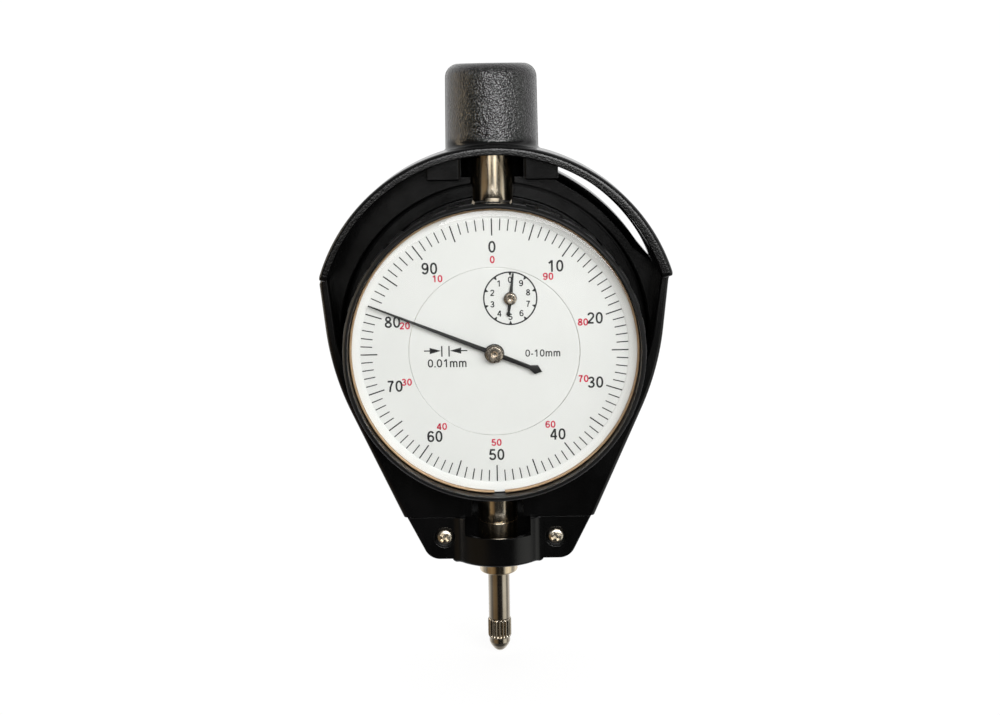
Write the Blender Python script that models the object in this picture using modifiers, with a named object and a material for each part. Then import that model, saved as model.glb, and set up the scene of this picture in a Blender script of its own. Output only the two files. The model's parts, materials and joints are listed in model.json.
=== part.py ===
"""A 0.01 mm dial indicator in a moulded guard, one object for each piece it comes apart into.

The origin is the tip of the contact point and +Z runs up the spindle. The dial faces -Y. Dimensions
are in millimetres, and MM turns them into metres where an object is made. Pieces that face the reader
are drawn in the dial's own frame: x to the right, y up from the dial's centre and z out of the dial.
"""

import math

import bmesh
import bpy
from mathutils import Matrix, Vector

MM = 0.001
FIT = 0.05  # radial gap of a press or sliding fit
PART_GAP = 0.15  # each half of the gap at the guard's parting plane
WELD = 1e-7

# Where the main axes are
DIAL_HEIGHT = 68.0
RACK_PITCH = 0.625  # a tenth of a pointer turn is 1.6 rack teeth
MODULE = RACK_PITCH / math.pi
RACK_PINION_TEETH = 16
WHEEL_TEETH = 100
CENTRE_PINION_TEETH = 10
GEAR_CENTRES = MODULE * (WHEEL_TEETH + CENTRE_PINION_TEETH) / 2
GEAR_LINE_ANGLE = math.radians(73.0)  # the line through the three arbors, from the dial's x axis
COUNTER_X = GEAR_CENTRES * math.cos(GEAR_LINE_ANGLE)
COUNTER_Y = GEAR_CENTRES * math.sin(GEAR_LINE_ANGLE)
POINTER_REST = math.radians(68.1)  # how far the long pointer rests short of the zero
COUNTER_REST = POINTER_REST / CENTRE_PINION_TEETH
TRAVEL = 10.3
PIVOT_RADIUS = 0.3  # the thin ends that turn in the jewels
FAR = 50.0  # beyond every piece, for the blocks that halve the guard

# Guard
ARCH_RADIUS = 35.6
ARCH_RISE = 3.3
ARCH_WALL = 2.3
VISOR_FRONT = 12.0
VISOR_END_ANGLE = math.radians(18.0)  # where the visor stops, above the arch's own x axis
FRAME_FRONT = 7.0
REAR_DEPTH = 11.4
SIDE_TOP = (34.5, 12.0)
SIDE_WAIST = (32.75, -5.7)
WAIST_RADIUS = 55.0
TAPER_END = (19.8, -35.9)
BASE_TOP = (19.1, -36.15)
BASE_CORNER = (14.7, -45.0)
BASE_CORNER_RADIUS = 3.4
CAVITY_RADIUS = 30.0
CAVITY_SIDE = 31.2
RECESS_RADIUS = 31.5
RECESS_FLAT = 30.0
RECESS_TOP = 32.0
RECESS_FLOOR = -5.0
POCKET_RADIUS = 28.3
POCKET_FLOOR = -8.8
CAP_RADIUS = 9.1
CAP_TOP = 122.7
CAP_FOOT = 104.5
CAP_CORNER = 2.2
CAP_BORE = 6.2
BOSS_RADIUS = 10.2
BOSS_WALL = 1.8
BOSS_FOOT = 22.5
BOSS_TOP = 28.5
STEM_CHANNEL = 5.25
BASE_SCREW = (11.4, -40.1)
FRAME_SCREW = (9.3, 33.9)
FRAME_BLOCK_HALF = 2.9
FRAME_BLOCK_FRONT = 6.0
FRAME_SINK = -8.0
BASE_SINK = 5.4
GUARD_SCREW_HOLE = 1.05
INSERT_RADIUS = 1.6
WINDOW_CENTRE = (-9.0, -6.5)
WINDOW_RADIUS = 46.2

# Indicator case, stem and tube
CASE_RADIUS = 27.6
CASE_BORE = 25.8
CASE_FRONT = 11.2
CASE_REAR = -6.5
CASE_BOSS = 16.7
STEM_RADIUS = 4.0
STEM_FOOT = 18.1
STEM_TOP = 43.4
TUBE_FOOT = 94.2
TUBE_TOP = 112.0
SPINDLE_RADIUS = 2.25
SPINDLE_TOP = 98.0
CONTACT_TOP = 7.4
CONTACT_FLUTES = 16
GUIDE_PIN_HEIGHT = 62.0
GUIDE_PIN_RADIUS = 0.6
GUIDE_PIN_END = 8.4
SPRING_X = 7.3
SPRING_FOOT = 47.1
SPRING_RADIUS = 1.25
SPRING_WIRE = 0.16

# Bezel and dial
BEZEL_RADIUS = 29.2
BEZEL_GROOVE_RADIUS = 28.65
BEZEL_FRONT = 17.0
BEZEL_REAR = 8.0
BEZEL_LUGS = 36
BEZEL_LUG_SHARE = 0.52
BEZEL_BORE = 28.05
DIAL_FRONT = 13.0
DIAL_THICKNESS = 0.5
PLATE_RADIUS = 16.5
POINTER_REAR = 14.2
POINTER_FRONT = 14.5
COUNTER_POINTER_REAR = 13.15
COUNTER_POINTER_FRONT = 13.3

# Movement, in the dial's frame
PLATE_REAR = 2.6
PLATE_FRONT = 3.6
BRIDGE_REAR = 7.2
BRIDGE_FRONT = 8.2
PILLARS = ((6.84, 22.4), (-6.84, -22.4), (-11.5, 3.5))
JEWEL_RADIUS = 0.8
JEWEL_LENGTH = 0.8
MOVEMENT_SCREW_HEAD = 1.3
MOVEMENT_SCREW_HEIGHT = 0.7
MOVEMENT_SCREW_SHANK = 0.6
MOVEMENT_SCREW_HOLE = 0.7
DRIVE_WHEEL_REAR = 4.0
COUNTER_WHEEL_REAR = 5.0
WHEEL_THICKNESS = 0.4
RACK_ARBOR_REAR = -3.4
HAIRSPRING_HEIGHT = 6.1
COCK_SCREW_X = -4.3

# How finely round pieces are divided
DISC_STEPS = 36
ROD_STEPS = 24
SMALL_STEPS = 12

PARTS = None
CUTTERS = None


def clear_scene():
    for obj in list(bpy.data.objects):
        bpy.data.objects.remove(obj, do_unlink=True)


def new_collection(name):
    collection = bpy.data.collections.new(name)
    bpy.context.scene.collection.children.link(collection)
    return collection


def material(name, colour, roughness, metallic=0.0):
    made = bpy.data.materials.new(name)
    made.use_nodes = True
    shader = made.node_tree.nodes["Principled BSDF"]
    shader.inputs["Base Color"].default_value = (*colour, 1.0)
    shader.inputs["Roughness"].default_value = roughness
    shader.inputs["Metallic"].default_value = metallic
    made.diffuse_color = (*colour, 1.0)
    return made


def empty(name, location, facing=True):
    """An axis to hang pieces on. A facing one has its z out of the dial and its y up."""
    axis = bpy.data.objects.new(name, None)
    axis.empty_display_size = 0.005
    axis.location = Vector(location) * MM
    axis.rotation_euler = (math.pi / 2 if facing else 0.0, 0.0, 0.0)
    PARTS.objects.link(axis)
    return axis


def finish(obj, parent, finish_material, smooth=True):
    """Hangs a new object on its axis and gives it a material. With no material it is a cutter."""
    (PARTS if finish_material else CUTTERS).objects.link(obj)
    obj.parent = parent
    if finish_material:
        obj.data.materials.append(finish_material)
    else:
        obj.hide_render = True
        obj.display_type = "WIRE"
    if smooth and obj.type == "MESH":
        obj.data.shade_smooth()
        obj.data.set_sharp_from_angle(angle=math.radians(35))
    return obj


def object_of(name, bm):
    mesh = bpy.data.meshes.new(name)
    bm.to_mesh(mesh)
    bm.free()
    return bpy.data.objects.new(name, mesh)


def cylinder(
    name, parent, radius, low, high, at=(0.0, 0.0), segments=ROD_STEPS, look=None, along="z"
):
    """A round bar along its axis's z, or along x or y, from low to high on that axis."""
    bm = bmesh.new()
    bmesh.ops.create_cone(
        bm,
        cap_ends=True,
        segments=segments,
        radius1=radius * MM,
        radius2=radius * MM,
        depth=(high - low) * MM,
    )
    turn = {"z": Matrix(), "x": Matrix.Rotation(math.pi / 2, 4, "Y")}
    turn["y"] = Matrix.Rotation(-math.pi / 2, 4, "X")
    middle = (low + high) / 2
    place = {"z": (*at, middle), "x": (middle, *at), "y": (at[0], middle, at[1])}[along]
    bm.transform(Matrix.Translation(Vector(place) * MM) @ turn[along])
    return finish(object_of(name, bm), parent, look)


def box(name, parent, low, high, look=None):
    bm = bmesh.new()
    bmesh.ops.create_cube(bm, size=1.0)
    size = Vector(high) - Vector(low)
    middle = (Vector(high) + Vector(low)) / 2
    bm.transform(Matrix.Translation(middle * MM) @ Matrix.Diagonal((*(size * MM), 1.0)))
    return finish(object_of(name, bm), parent, look, smooth=False)


def turned(name, parent, profile, look=None, steps=ROD_STEPS, closed=False, at=(0.0, 0.0)):
    """A profile of (radius, height) points turned about its axis, running down the outer side."""
    bm = bmesh.new()
    points = [bm.verts.new((radius * MM, 0.0, height * MM)) for radius, height in profile]
    for first, second in zip(points, points[1:]):
        bm.edges.new((first, second))
    if closed:
        bm.edges.new((points[-1], points[0]))
    obj = finish(object_of(name, bm), parent, look)
    obj.location = Vector((at[0], at[1], 0.0)) * MM
    screw = obj.modifiers.new("turn", "SCREW")
    screw.steps = steps
    screw.render_steps = steps
    screw.use_merge_vertices = True
    screw.merge_threshold = WELD
    screw.use_smooth_shade = True
    return obj


def ring_profile(inner, outer, low, high):
    return [(outer, high), (outer, low), (inner, low), (inner, high)]


def arc(centre, radius, start, end, steps):
    """Points from start to end, angles in radians from the x axis."""
    angles = [start + (end - start) * i / steps for i in range(steps + 1)]
    return [(centre[0] + radius * math.cos(a), centre[1] + radius * math.sin(a)) for a in angles]


def circle(centre, radius, steps):
    return arc(centre, radius, 0.0, 2 * math.pi, steps)[:-1]


def rounded_corner(before, corner, after, radius, steps):
    """The arc that rounds a corner of an outline."""
    corner = Vector(corner)
    first = (Vector(before) - corner).normalized()
    second = (Vector(after) - corner).normalized()
    half = first.angle(second) / 2
    centre = corner + (first + second).normalized() * radius / math.sin(half)
    reach = radius / math.tan(half)
    from_centre = corner + first * reach - centre
    sweep = from_centre.angle_signed(corner + second * reach - centre)
    start = math.atan2(from_centre.y, from_centre.x)
    return arc(centre, radius, start, start - sweep, steps)


def outline_round(corners, margin, steps):
    """The outline at a margin round a convex polygon, whose corners are given anticlockwise."""
    points = []
    for i, corner in enumerate(corners):
        before = Vector(corner) - Vector(corners[i - 1])
        after = Vector(corners[(i + 1) % len(corners)]) - Vector(corner)
        start = math.atan2(-before.x, before.y)
        points += arc(corner, margin, start, start + after.angle_signed(before), steps)
    return points


def mirrored(right_half):
    """A closed outline from its right half, which runs from the top down."""
    return right_half + [(-x, y) for x, y in reversed(right_half) if x > 0]


def flat(name, parent, loops, low, high, look=None):
    """A plate from a 2D curve: the first loop is its outline, and the others are holes."""
    curve = bpy.data.curves.new(name, "CURVE")
    curve.dimensions = "2D"
    curve.fill_mode = "BOTH"
    curve.extrude = (high - low) / 2 * MM
    for loop in loops:
        spline = curve.splines.new("POLY")
        spline.points.add(len(loop) - 1)
        for point, (x, y) in zip(spline.points, loop):
            point.co = (x * MM, y * MM, 0.0, 1.0)
        spline.use_cyclic_u = True
    outline = bpy.data.objects.new(name + "_outline", curve)
    outline.location = (0.0, 0.0, (low + high) / 2 * MM)
    return mesh_of_curve(name, parent, outline, look)


def mesh_of_curve(name, parent, curve_object, look, smooth=False):
    """The curve's surface as a welded mesh, with its location kept in the points."""
    bpy.context.scene.collection.objects.link(curve_object)
    graph = bpy.context.evaluated_depsgraph_get()
    graph.update()
    mesh = bpy.data.meshes.new_from_object(curve_object.evaluated_get(graph))
    mesh.name = name
    bm = bmesh.new()
    bm.from_mesh(mesh)
    bmesh.ops.remove_doubles(bm, verts=bm.verts, dist=1e-6)
    bmesh.ops.recalc_face_normals(bm, faces=bm.faces)
    bm.transform(Matrix.Translation(curve_object.location))
    bm.to_mesh(mesh)
    bm.free()
    bpy.data.objects.remove(curve_object, do_unlink=True)
    return finish(bpy.data.objects.new(name, mesh), parent, look, smooth)


def boolean(target, operation, others):
    for other in others:
        modifier = target.modifiers.new(other.name, "BOOLEAN")
        modifier.operation = operation
        modifier.solver = "EXACT"
        modifier.object = other
    return target


def cut(target, *cutters):
    return boolean(target, "DIFFERENCE", cutters)


def join(target, *pieces):
    return boolean(target, "UNION", pieces)


def guard_outline(inset):
    """The guard seen from the front, above its base, drawn in by inset all round."""
    centre = (0.0, ARCH_RISE)
    shoulder = math.asin((SIDE_TOP[1] - ARCH_RISE) / (ARCH_RADIUS - inset))
    half = arc(centre, ARCH_RADIUS - inset, math.pi / 2, shoulder, 16)
    side = (SIDE_TOP[0] - inset, SIDE_TOP[1] - 1.0)
    waist = (SIDE_WAIST[0] - inset, SIDE_WAIST[1])
    foot = (TAPER_END[0] - inset, TAPER_END[1])
    half.append(side)
    half += rounded_corner(side, waist, foot, WAIST_RADIUS, 5)
    half.append(foot)
    return mirrored(half)


def cavity_outline():
    """The opening that the case and the bezel sit in."""
    centre = (0.0, ARCH_RISE)
    inner = ARCH_RADIUS - ARCH_WALL
    side_start = math.asin((SIDE_TOP[1] + 1.0 - ARCH_RISE) / inner)
    half = arc(centre, inner, math.pi / 2, side_start, 14)
    half.append((CAVITY_SIDE, 1.0))
    half += arc((0.0, 0.0), CAVITY_RADIUS, math.radians(-12), math.radians(-90), 10)
    return mirrored(half)


def base_outline(top, low_x):
    """The guard's base seen from the front, from its top edge down to the screw lobes."""
    lobe = rounded_corner(BASE_TOP, BASE_CORNER, (0.0, BASE_CORNER[1]), BASE_CORNER_RADIUS, 5)
    return mirrored([(low_x, top), (BASE_TOP[0], top), *lobe])


def cap_profile(radius, foot, top, corner):
    """The rounded cap, with a little draft, down to its foot."""
    draft = 0.25
    shoulder = arc((radius - draft - corner, top - corner), corner, math.pi / 2, 0.0, 3)
    return [(0.0, top), *shoulder, (radius, foot), (0.0, foot)]


def front_frame(dial, upright, looks):
    frame = flat(
        "front_frame", dial, [guard_outline(0.0)], PART_GAP, FRAME_FRONT, looks["guard"]
    )
    end = VISOR_END_ANGLE
    centre = (0.0, ARCH_RISE)
    outside = arc(centre, ARCH_RADIUS, end, math.pi - end, 30)
    inside = arc(centre, ARCH_RADIUS - ARCH_WALL - 1.0, math.pi - end, end, 30)
    visor = flat("visor", dial, [outside + inside], FRAME_FRONT - 2.0, VISOR_FRONT)
    cap = turned("cap_front", upright, cap_profile(CAP_RADIUS, CAP_FOOT, CAP_TOP, CAP_CORNER))
    behind = box("behind_parting", dial, (-FAR, -FAR, -FAR), (FAR, 1.5 * FAR, PART_GAP))
    cavity = flat("frame_cavity", dial, [cavity_outline()], -2.0, VISOR_FRONT + 3.0)
    bore = cylinder("cap_bore_front", upright, CAP_BORE, 90.0, 120.0)
    channel = box(
        "frame_channel", dial, (-STEM_CHANNEL, -40.0, -2.0), (STEM_CHANNEL, -20.0, FRAME_FRONT + 1)
    )
    join(frame, visor, cap)
    cut(frame, cavity, channel)
    threads = []
    for side, x in (("left", -FRAME_SCREW[0]), ("right", FRAME_SCREW[0])):
        low = (x - FRAME_BLOCK_HALF, RECESS_TOP, PART_GAP)
        high = (x + FRAME_BLOCK_HALF, ARCH_RADIUS + 1.4, FRAME_BLOCK_FRONT)
        join(frame, box(f"screw_block_{side}", dial, low, high))
        at = (x, FRAME_SCREW[1])
        threads.append(cylinder(f"frame_thread_{side}", dial, 0.85, -1.0, 4.6, at, SMALL_STEPS))
    return cut(frame, bore, behind, *threads)


def window_outline():
    """The crescent on the right, between the rear shell and the visor: outside a flatter arc."""
    inner = arc(WINDOW_CENTRE, WINDOW_RADIUS, math.radians(66), math.radians(27), 8)
    return inner + [(45.0, 14.0), (45.0, 45.0), (10.0, 45.0)]


def rear_shell(dial, upright, looks):
    inset = 0.5
    shell = flat(
        "rear_shell", dial, [guard_outline(inset)], -REAR_DEPTH, -PART_GAP, looks["guard"]
    )
    foot = flat("rear_foot", dial, [base_outline(TAPER_END[1] + 1.0, 0.0)], -REAR_DEPTH, -PART_GAP)
    cap = turned("cap_rear", upright, cap_profile(CAP_RADIUS, CAP_FOOT, CAP_TOP, CAP_CORNER))
    ahead = box("ahead_of_parting", dial, (-FAR, -FAR, -PART_GAP), (FAR, 1.5 * FAR, FAR))
    flat_top = math.asin(RECESS_FLAT / RECESS_RADIUS)
    recess = mirrored(arc((0.0, 0.0), RECESS_RADIUS, flat_top, -math.pi / 2, 18))
    recess_cutter = flat("recess", dial, [recess], RECESS_FLOOR, 1.0)
    pocket = cylinder("case_pocket", dial, POCKET_RADIUS, POCKET_FLOOR, 0.0, segments=DISC_STEPS)
    bore = cylinder("cap_bore_rear", upright, CAP_BORE, 100.5, 120.0)
    notch = cylinder("tube_notch", upright, STEM_RADIUS + 0.4, 90.0, 102.0)
    groove = cylinder("stem_groove", upright, STEM_RADIUS + FIT, 15.0, 50.0)
    window = flat("window", dial, [window_outline()], -REAR_DEPTH - 1.0, 1.0)
    join(shell, foot, cap)
    cut(shell, ahead, recess_cutter, pocket, bore, notch, groove, window)
    for side, x in (("left", -1), ("right", 1)):
        at = (x * BASE_SCREW[0], BASE_SCREW[1])
        seat_radius = INSERT_RADIUS + FIT
        seat = cylinder(f"insert_seat_{side}", dial, seat_radius, -6.5, 1.0, at, SMALL_STEPS)
        at = (x * FRAME_SCREW[0], FRAME_SCREW[1])
        outside = -REAR_DEPTH - 1.0
        hole = cylinder(f"frame_hole_{side}", dial, GUARD_SCREW_HOLE, outside, 1.0, at, SMALL_STEPS)
        sink = cylinder(f"frame_sink_{side}", dial, 2.0, outside, FRAME_SINK, at, SMALL_STEPS)
        cut(shell, seat, hole, sink)
    return shell


def base_clamp(dial, upright, looks):
    clamp = flat(
        "base_clamp", dial, [base_outline(BASE_TOP[1], 0.0)], PART_GAP, FRAME_FRONT, looks["guard"]
    )
    boss = cylinder("clamp_boss", upright, BOSS_RADIUS, BOSS_FOOT, BOSS_TOP, segments=DISC_STEPS)
    behind = box("behind_clamp", dial, (-FAR, -FAR, -FAR), (FAR, 1.5 * FAR, PART_GAP))
    hollow = BOSS_RADIUS - BOSS_WALL
    pocket = cylinder("clamp_pocket", upright, hollow, 24.5, 40.0, segments=DISC_STEPS)
    stem_hole = cylinder("clamp_stem_hole", upright, STEM_RADIUS + FIT, 15.0, 40.0)
    above = box("clamp_above", upright, (-hollow, -15.0, BOSS_TOP), (hollow, 5.0, 40.0))
    join(clamp, boss)
    cut(clamp, behind, pocket, stem_hole, above)
    for side, x in (("left", -1), ("right", 1)):
        at = (x * BASE_SCREW[0], BASE_SCREW[1])
        hole = cylinder(f"base_hole_{side}", dial, GUARD_SCREW_HOLE, -1.0, 9.0, at, SMALL_STEPS)
        cut(clamp, hole, cylinder(f"base_sink_{side}", dial, 2.1, BASE_SINK, 9.0, at, 16))
    return clamp


def screw(name, parent, at, seat, head, head_height, shank, length, look, towards=1):
    """A pan head on its seat and a plain shank; towards is -1 where the head faces the rear."""
    outline = [
        (0.0, seat + towards * head_height),
        (head * 0.72, seat + towards * head_height),
        (head, seat + towards * head_height * 0.45),
        (head, seat),
        (shank, seat),
        (shank, seat - towards * length),
        (0.0, seat - towards * length),
    ]
    profile = outline if towards > 0 else list(reversed(outline))
    return turned(name, parent, profile, look, steps=SMALL_STEPS, at=at)


def movement_screw(name, parent, at, seat, length, look, towards=1):
    head, height = MOVEMENT_SCREW_HEAD, MOVEMENT_SCREW_HEIGHT
    return screw(name, parent, at, seat, head, height, MOVEMENT_SCREW_SHANK, length, look, towards)


def guard_fasteners(dial, looks):
    look = looks["screw"]
    for side, x in (("left", -1), ("right", 1)):
        at = (x * BASE_SCREW[0], BASE_SCREW[1])
        screw(f"base_screw_{side}", dial, at, BASE_SINK + FIT, 1.65, 1.3, 0.85, 10.6, look)
        profile = ring_profile(0.95, INSERT_RADIUS, -6.2, -0.4)
        turned(f"base_insert_{side}", dial, profile, looks["brass"], SMALL_STEPS, True, at)
        at = (x * FRAME_SCREW[0], FRAME_SCREW[1])
        screw(f"frame_screw_{side}", dial, at, FRAME_SINK - FIT, 1.7, 1.2, 0.8, 12.2, look, -1)


def case_body(dial, upright, looks):
    profile = [
        (CASE_RADIUS, CASE_FRONT),
        (CASE_RADIUS, 9.6),
        (27.15, 9.6),
        (27.15, 8.8),
        (CASE_RADIUS, 8.8),
        (CASE_RADIUS, CASE_REAR),
        (CASE_BORE, CASE_REAR),
        (CASE_BORE, CASE_FRONT),
    ]
    case = turned("case_body", dial, profile, looks["case"], steps=DISC_STEPS, closed=True)
    corners = [(x * CASE_BOSS, y * CASE_BOSS) for x in (-1, 1) for y in (-1, 1)]
    for i, at in enumerate(corners):
        join(case, cylinder(f"case_boss_{i}", dial, 2.6, CASE_REAR + 0.1, PLATE_REAR - FIT, at, 16))
    for i, at in enumerate(corners):
        cut(case, cylinder(f"case_thread_{i}", dial, 0.65, -9.0, 5.0, at, 12))
    stem_hole = cylinder("case_stem_hole", upright, STEM_RADIUS + FIT, 30.0, 50.0)
    tube_hole = cylinder("case_tube_hole", upright, STEM_RADIUS + FIT, 90.0, 100.0)
    return cut(case, stem_hole, tube_hole)


def back_cover(dial, looks):
    screws = [(-CASE_BOSS, CASE_BOSS), (CASE_BOSS, -CASE_BOSS)]
    holes = [circle(at, MOVEMENT_SCREW_HOLE, SMALL_STEPS) for at in screws]
    cover_front = CASE_REAR - FIT
    cover_rear = cover_front - 1.2
    outline = circle((0.0, 0.0), CASE_RADIUS - 0.2, DISC_STEPS)
    flat("case_back_cover", dial, [outline, *holes], cover_rear, cover_front, looks["case"])
    for name, at in zip(("upper", "lower"), screws):
        seat = cover_rear - FIT
        movement_screw(f"cover_screw_{name}", dial, at, seat, 4.5, looks["steel"], -1)


def stem_and_tube(upright, looks):
    groove = 29.6
    stem = [
        (STEM_RADIUS - 0.3, STEM_TOP),
        (STEM_RADIUS, STEM_TOP - 0.3),
        (STEM_RADIUS, groove + 0.15),
        (STEM_RADIUS - 0.2, groove + 0.15),
        (STEM_RADIUS - 0.2, groove - 0.15),
        (STEM_RADIUS, groove - 0.15),
        (STEM_RADIUS, STEM_FOOT + 0.3),
        (STEM_RADIUS - 0.3, STEM_FOOT),
        (2.95, STEM_FOOT),
        (2.95, STEM_TOP),
    ]
    turned("stem", upright, stem, looks["nickel"], closed=True)
    bushing = ring_profile(SPINDLE_RADIUS + FIT, 2.9, STEM_FOOT + 0.4, 27.0)
    turned("stem_bushing", upright, bushing, looks["brass"], closed=True)
    tube = ring_profile(2.6, STEM_RADIUS, TUBE_FOOT, TUBE_TOP)
    turned("guide_tube", upright, tube, looks["nickel"], closed=True)
    plug = [
        (0.0, TUBE_TOP + 2.2),
        (2.6, TUBE_TOP + 2.1),
        (3.9, TUBE_TOP + 1.2),
        (3.9, TUBE_TOP + FIT),
        (2.55, TUBE_TOP + FIT),
        (2.55, TUBE_TOP - 1.5),
        (0.0, TUBE_TOP - 1.5),
    ]
    turned("guide_tube_cap", upright, plug, looks["nickel"])


def rack_cutter():
    """What is milled off the spindle's left side to leave the rack."""
    pitch_line = -COUNTER_X + MODULE * RACK_PINION_TEETH / 2
    mesh_height = DIAL_HEIGHT - COUNTER_Y
    low_end = mesh_height - TRAVEL - 2.1
    high_end = mesh_height + 2.1
    tip, root = pitch_line - 0.15, pitch_line + 0.21
    half_gap_tip, half_gap_root = 0.225, 0.125
    spaces = []
    first = math.ceil((low_end + 0.3 - mesh_height) / RACK_PITCH)
    last = math.floor((high_end - 0.3 - mesh_height) / RACK_PITCH)
    for i in range(first, last + 1):
        middle = mesh_height + i * RACK_PITCH
        spaces += [
            (tip, middle - half_gap_tip),
            (root, middle - half_gap_root),
            (root, middle + half_gap_root),
            (tip, middle + half_gap_tip),
        ]
    outline = [(-4.0, low_end), (tip, low_end), *spaces, (tip, high_end), (-4.0, high_end)]
    lying = empty("rack_side", (0.0, 0.0, 0.0))
    return flat("rack_spaces", lying, [outline], -3.0, 3.0)


def spindle_group(upright, looks):
    spindle = [
        (0.0, SPINDLE_TOP),
        (SPINDLE_RADIUS - 0.4, SPINDLE_TOP),
        (SPINDLE_RADIUS, SPINDLE_TOP - 0.4),
        (SPINDLE_RADIUS, CONTACT_TOP + FIT),
        (1.3, CONTACT_TOP + FIT),
        (1.3, CONTACT_TOP + 5.0),
        (0.0, CONTACT_TOP + 5.0),
    ]
    rod = turned("spindle", upright, spindle, looks["steel"])
    at = (0.0, GUIDE_PIN_HEIGHT)
    pin_radius = GUIDE_PIN_RADIUS
    pin_hole = cylinder("pin_hole", upright, pin_radius + FIT, 0.2, 4.0, at, 12, along="x")
    cut(rod, rack_cutter(), pin_hole)
    cylinder("guide_pin", upright, pin_radius, 0.3, GUIDE_PIN_END, at, 12, looks["steel"], "x")
    collar = ring_profile(SPINDLE_RADIUS + FIT, 3.3, STEM_TOP + 0.1, STEM_TOP + 1.3)
    turned("stop_collar", upright, collar, looks["brass"], closed=True)


def contact_point(upright, looks):
    """The screwed-in contact: a knurled grip, a cone and a small flat at the very tip."""
    body = [
        (0.0, CONTACT_TOP + 4.6),
        (1.2, CONTACT_TOP + 4.6),
        (1.2, CONTACT_TOP),
        (2.15, CONTACT_TOP),
        (2.45, CONTACT_TOP - 0.3),
        (2.45, 3.4),
        (2.2, 3.05),
        (2.2, 2.1),
        (1.85, 1.35),
        (1.25, 0.55),
        (0.75, 0.15),
        (0.4, 0.0),
        (0.0, 0.0),
    ]
    point = turned("contact_point", upright, body, looks["steel"])
    for i in range(CONTACT_FLUTES):
        angle = 2 * math.pi * i / CONTACT_FLUTES
        at = (2.55 * math.cos(angle), 2.55 * math.sin(angle))
        cut(point, cylinder(f"flute_{i}", upright, 0.2, 3.2, CONTACT_TOP + 1.0, at, 4))
    return point


def gear_outline(teeth, towards, flat_tips=True):
    """A toothed outline with one tooth centred on the direction towards."""
    radius = MODULE * teeth / 2
    tip, root = radius + 0.16, radius - 0.22
    if flat_tips:
        tooth = ((root, -0.165), (tip, -0.075), (tip, 0.075), (root, 0.165))
    else:
        tooth = ((root, -0.17), (tip, 0.0), (root, 0.17))
    points = []
    for i in range(teeth):
        middle = towards + 2 * math.pi * i / teeth
        for reach, half in tooth:
            angle = middle + half / radius
            points.append((reach * math.cos(angle), reach * math.sin(angle)))
    return points


def arbor_profile(radius, rear, front):
    """A plain arbor whose rear end is turned down to a pivot."""
    shoulder = rear + 0.95
    return [
        (0.0, front),
        (radius, front),
        (radius, shoulder),
        (PIVOT_RADIUS, shoulder),
        (PIVOT_RADIUS, rear),
        (0.0, rear),
    ]


def rack_arbor_group(rack, looks):
    profile = arbor_profile(0.5, RACK_ARBOR_REAR, BRIDGE_FRONT - 0.1)
    arbor = turned("rack_arbor", rack, profile, looks["steel"], SMALL_STEPS)
    pinion = flat("rack_pinion_teeth", rack, [gear_outline(RACK_PINION_TEETH, 0.0)], -1.2, 1.2)
    join(arbor, pinion)
    bore = circle((0.0, 0.0), 0.5 + FIT, SMALL_STEPS)
    outline = gear_outline(WHEEL_TEETH, GEAR_LINE_ANGLE, flat_tips=False)
    low, high = DRIVE_WHEEL_REAR, DRIVE_WHEEL_REAR + WHEEL_THICKNESS
    flat("drive_wheel", rack, [outline, bore], low, high, looks["brass"])


def centre_group(dial, looks):
    profile = arbor_profile(0.45, PLATE_REAR + FIT, 15.0)
    arbor = turned("centre_pinion", dial, profile, looks["steel"], SMALL_STEPS)
    half_pitch = math.pi / CENTRE_PINION_TEETH
    teeth = gear_outline(CENTRE_PINION_TEETH, GEAR_LINE_ANGLE + half_pitch)
    join(arbor, flat("centre_pinion_teeth", dial, [teeth], 3.9, 5.6))
    hub = [
        (1.35, 15.35),
        (1.73, 15.1),
        (1.73, 14.6),
        (1.1, 14.6),
        (1.1, 13.9),
        (0.5, 13.9),
        (0.5, 15.35),
    ]
    turned("main_pointer_hub", dial, hub, looks["nickel"], steps=16, closed=True)
    pointer = pointer_outline(25.8, 9.3, 0.36, 0.09, 1.9, 0.85)
    hole = circle((0.0, 0.0), 1.1 + FIT, 16)
    low, high = POINTER_REAR, POINTER_FRONT
    needle = flat("main_pointer", dial, [pointer, hole], low, high, looks["black"])
    needle.rotation_euler = (0.0, 0.0, POINTER_REST)


def pointer_outline(length, tail, root_half, tip_half, hub_radius, tail_half):
    """A tapering needle pointing up, a round eye at its centre and a kite-shaped tail."""
    eye = math.asin(root_half / hub_radius)
    right = arc((0.0, 0.0), hub_radius, math.pi / 2 - eye, -math.pi / 2 + eye, 8)
    tail_points = [(tail_half * 0.45, -tail * 0.78), (tail_half, -tail * 0.88), (0.0, -tail)]
    return mirrored([(tip_half, length), *right, *tail_points])


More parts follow.
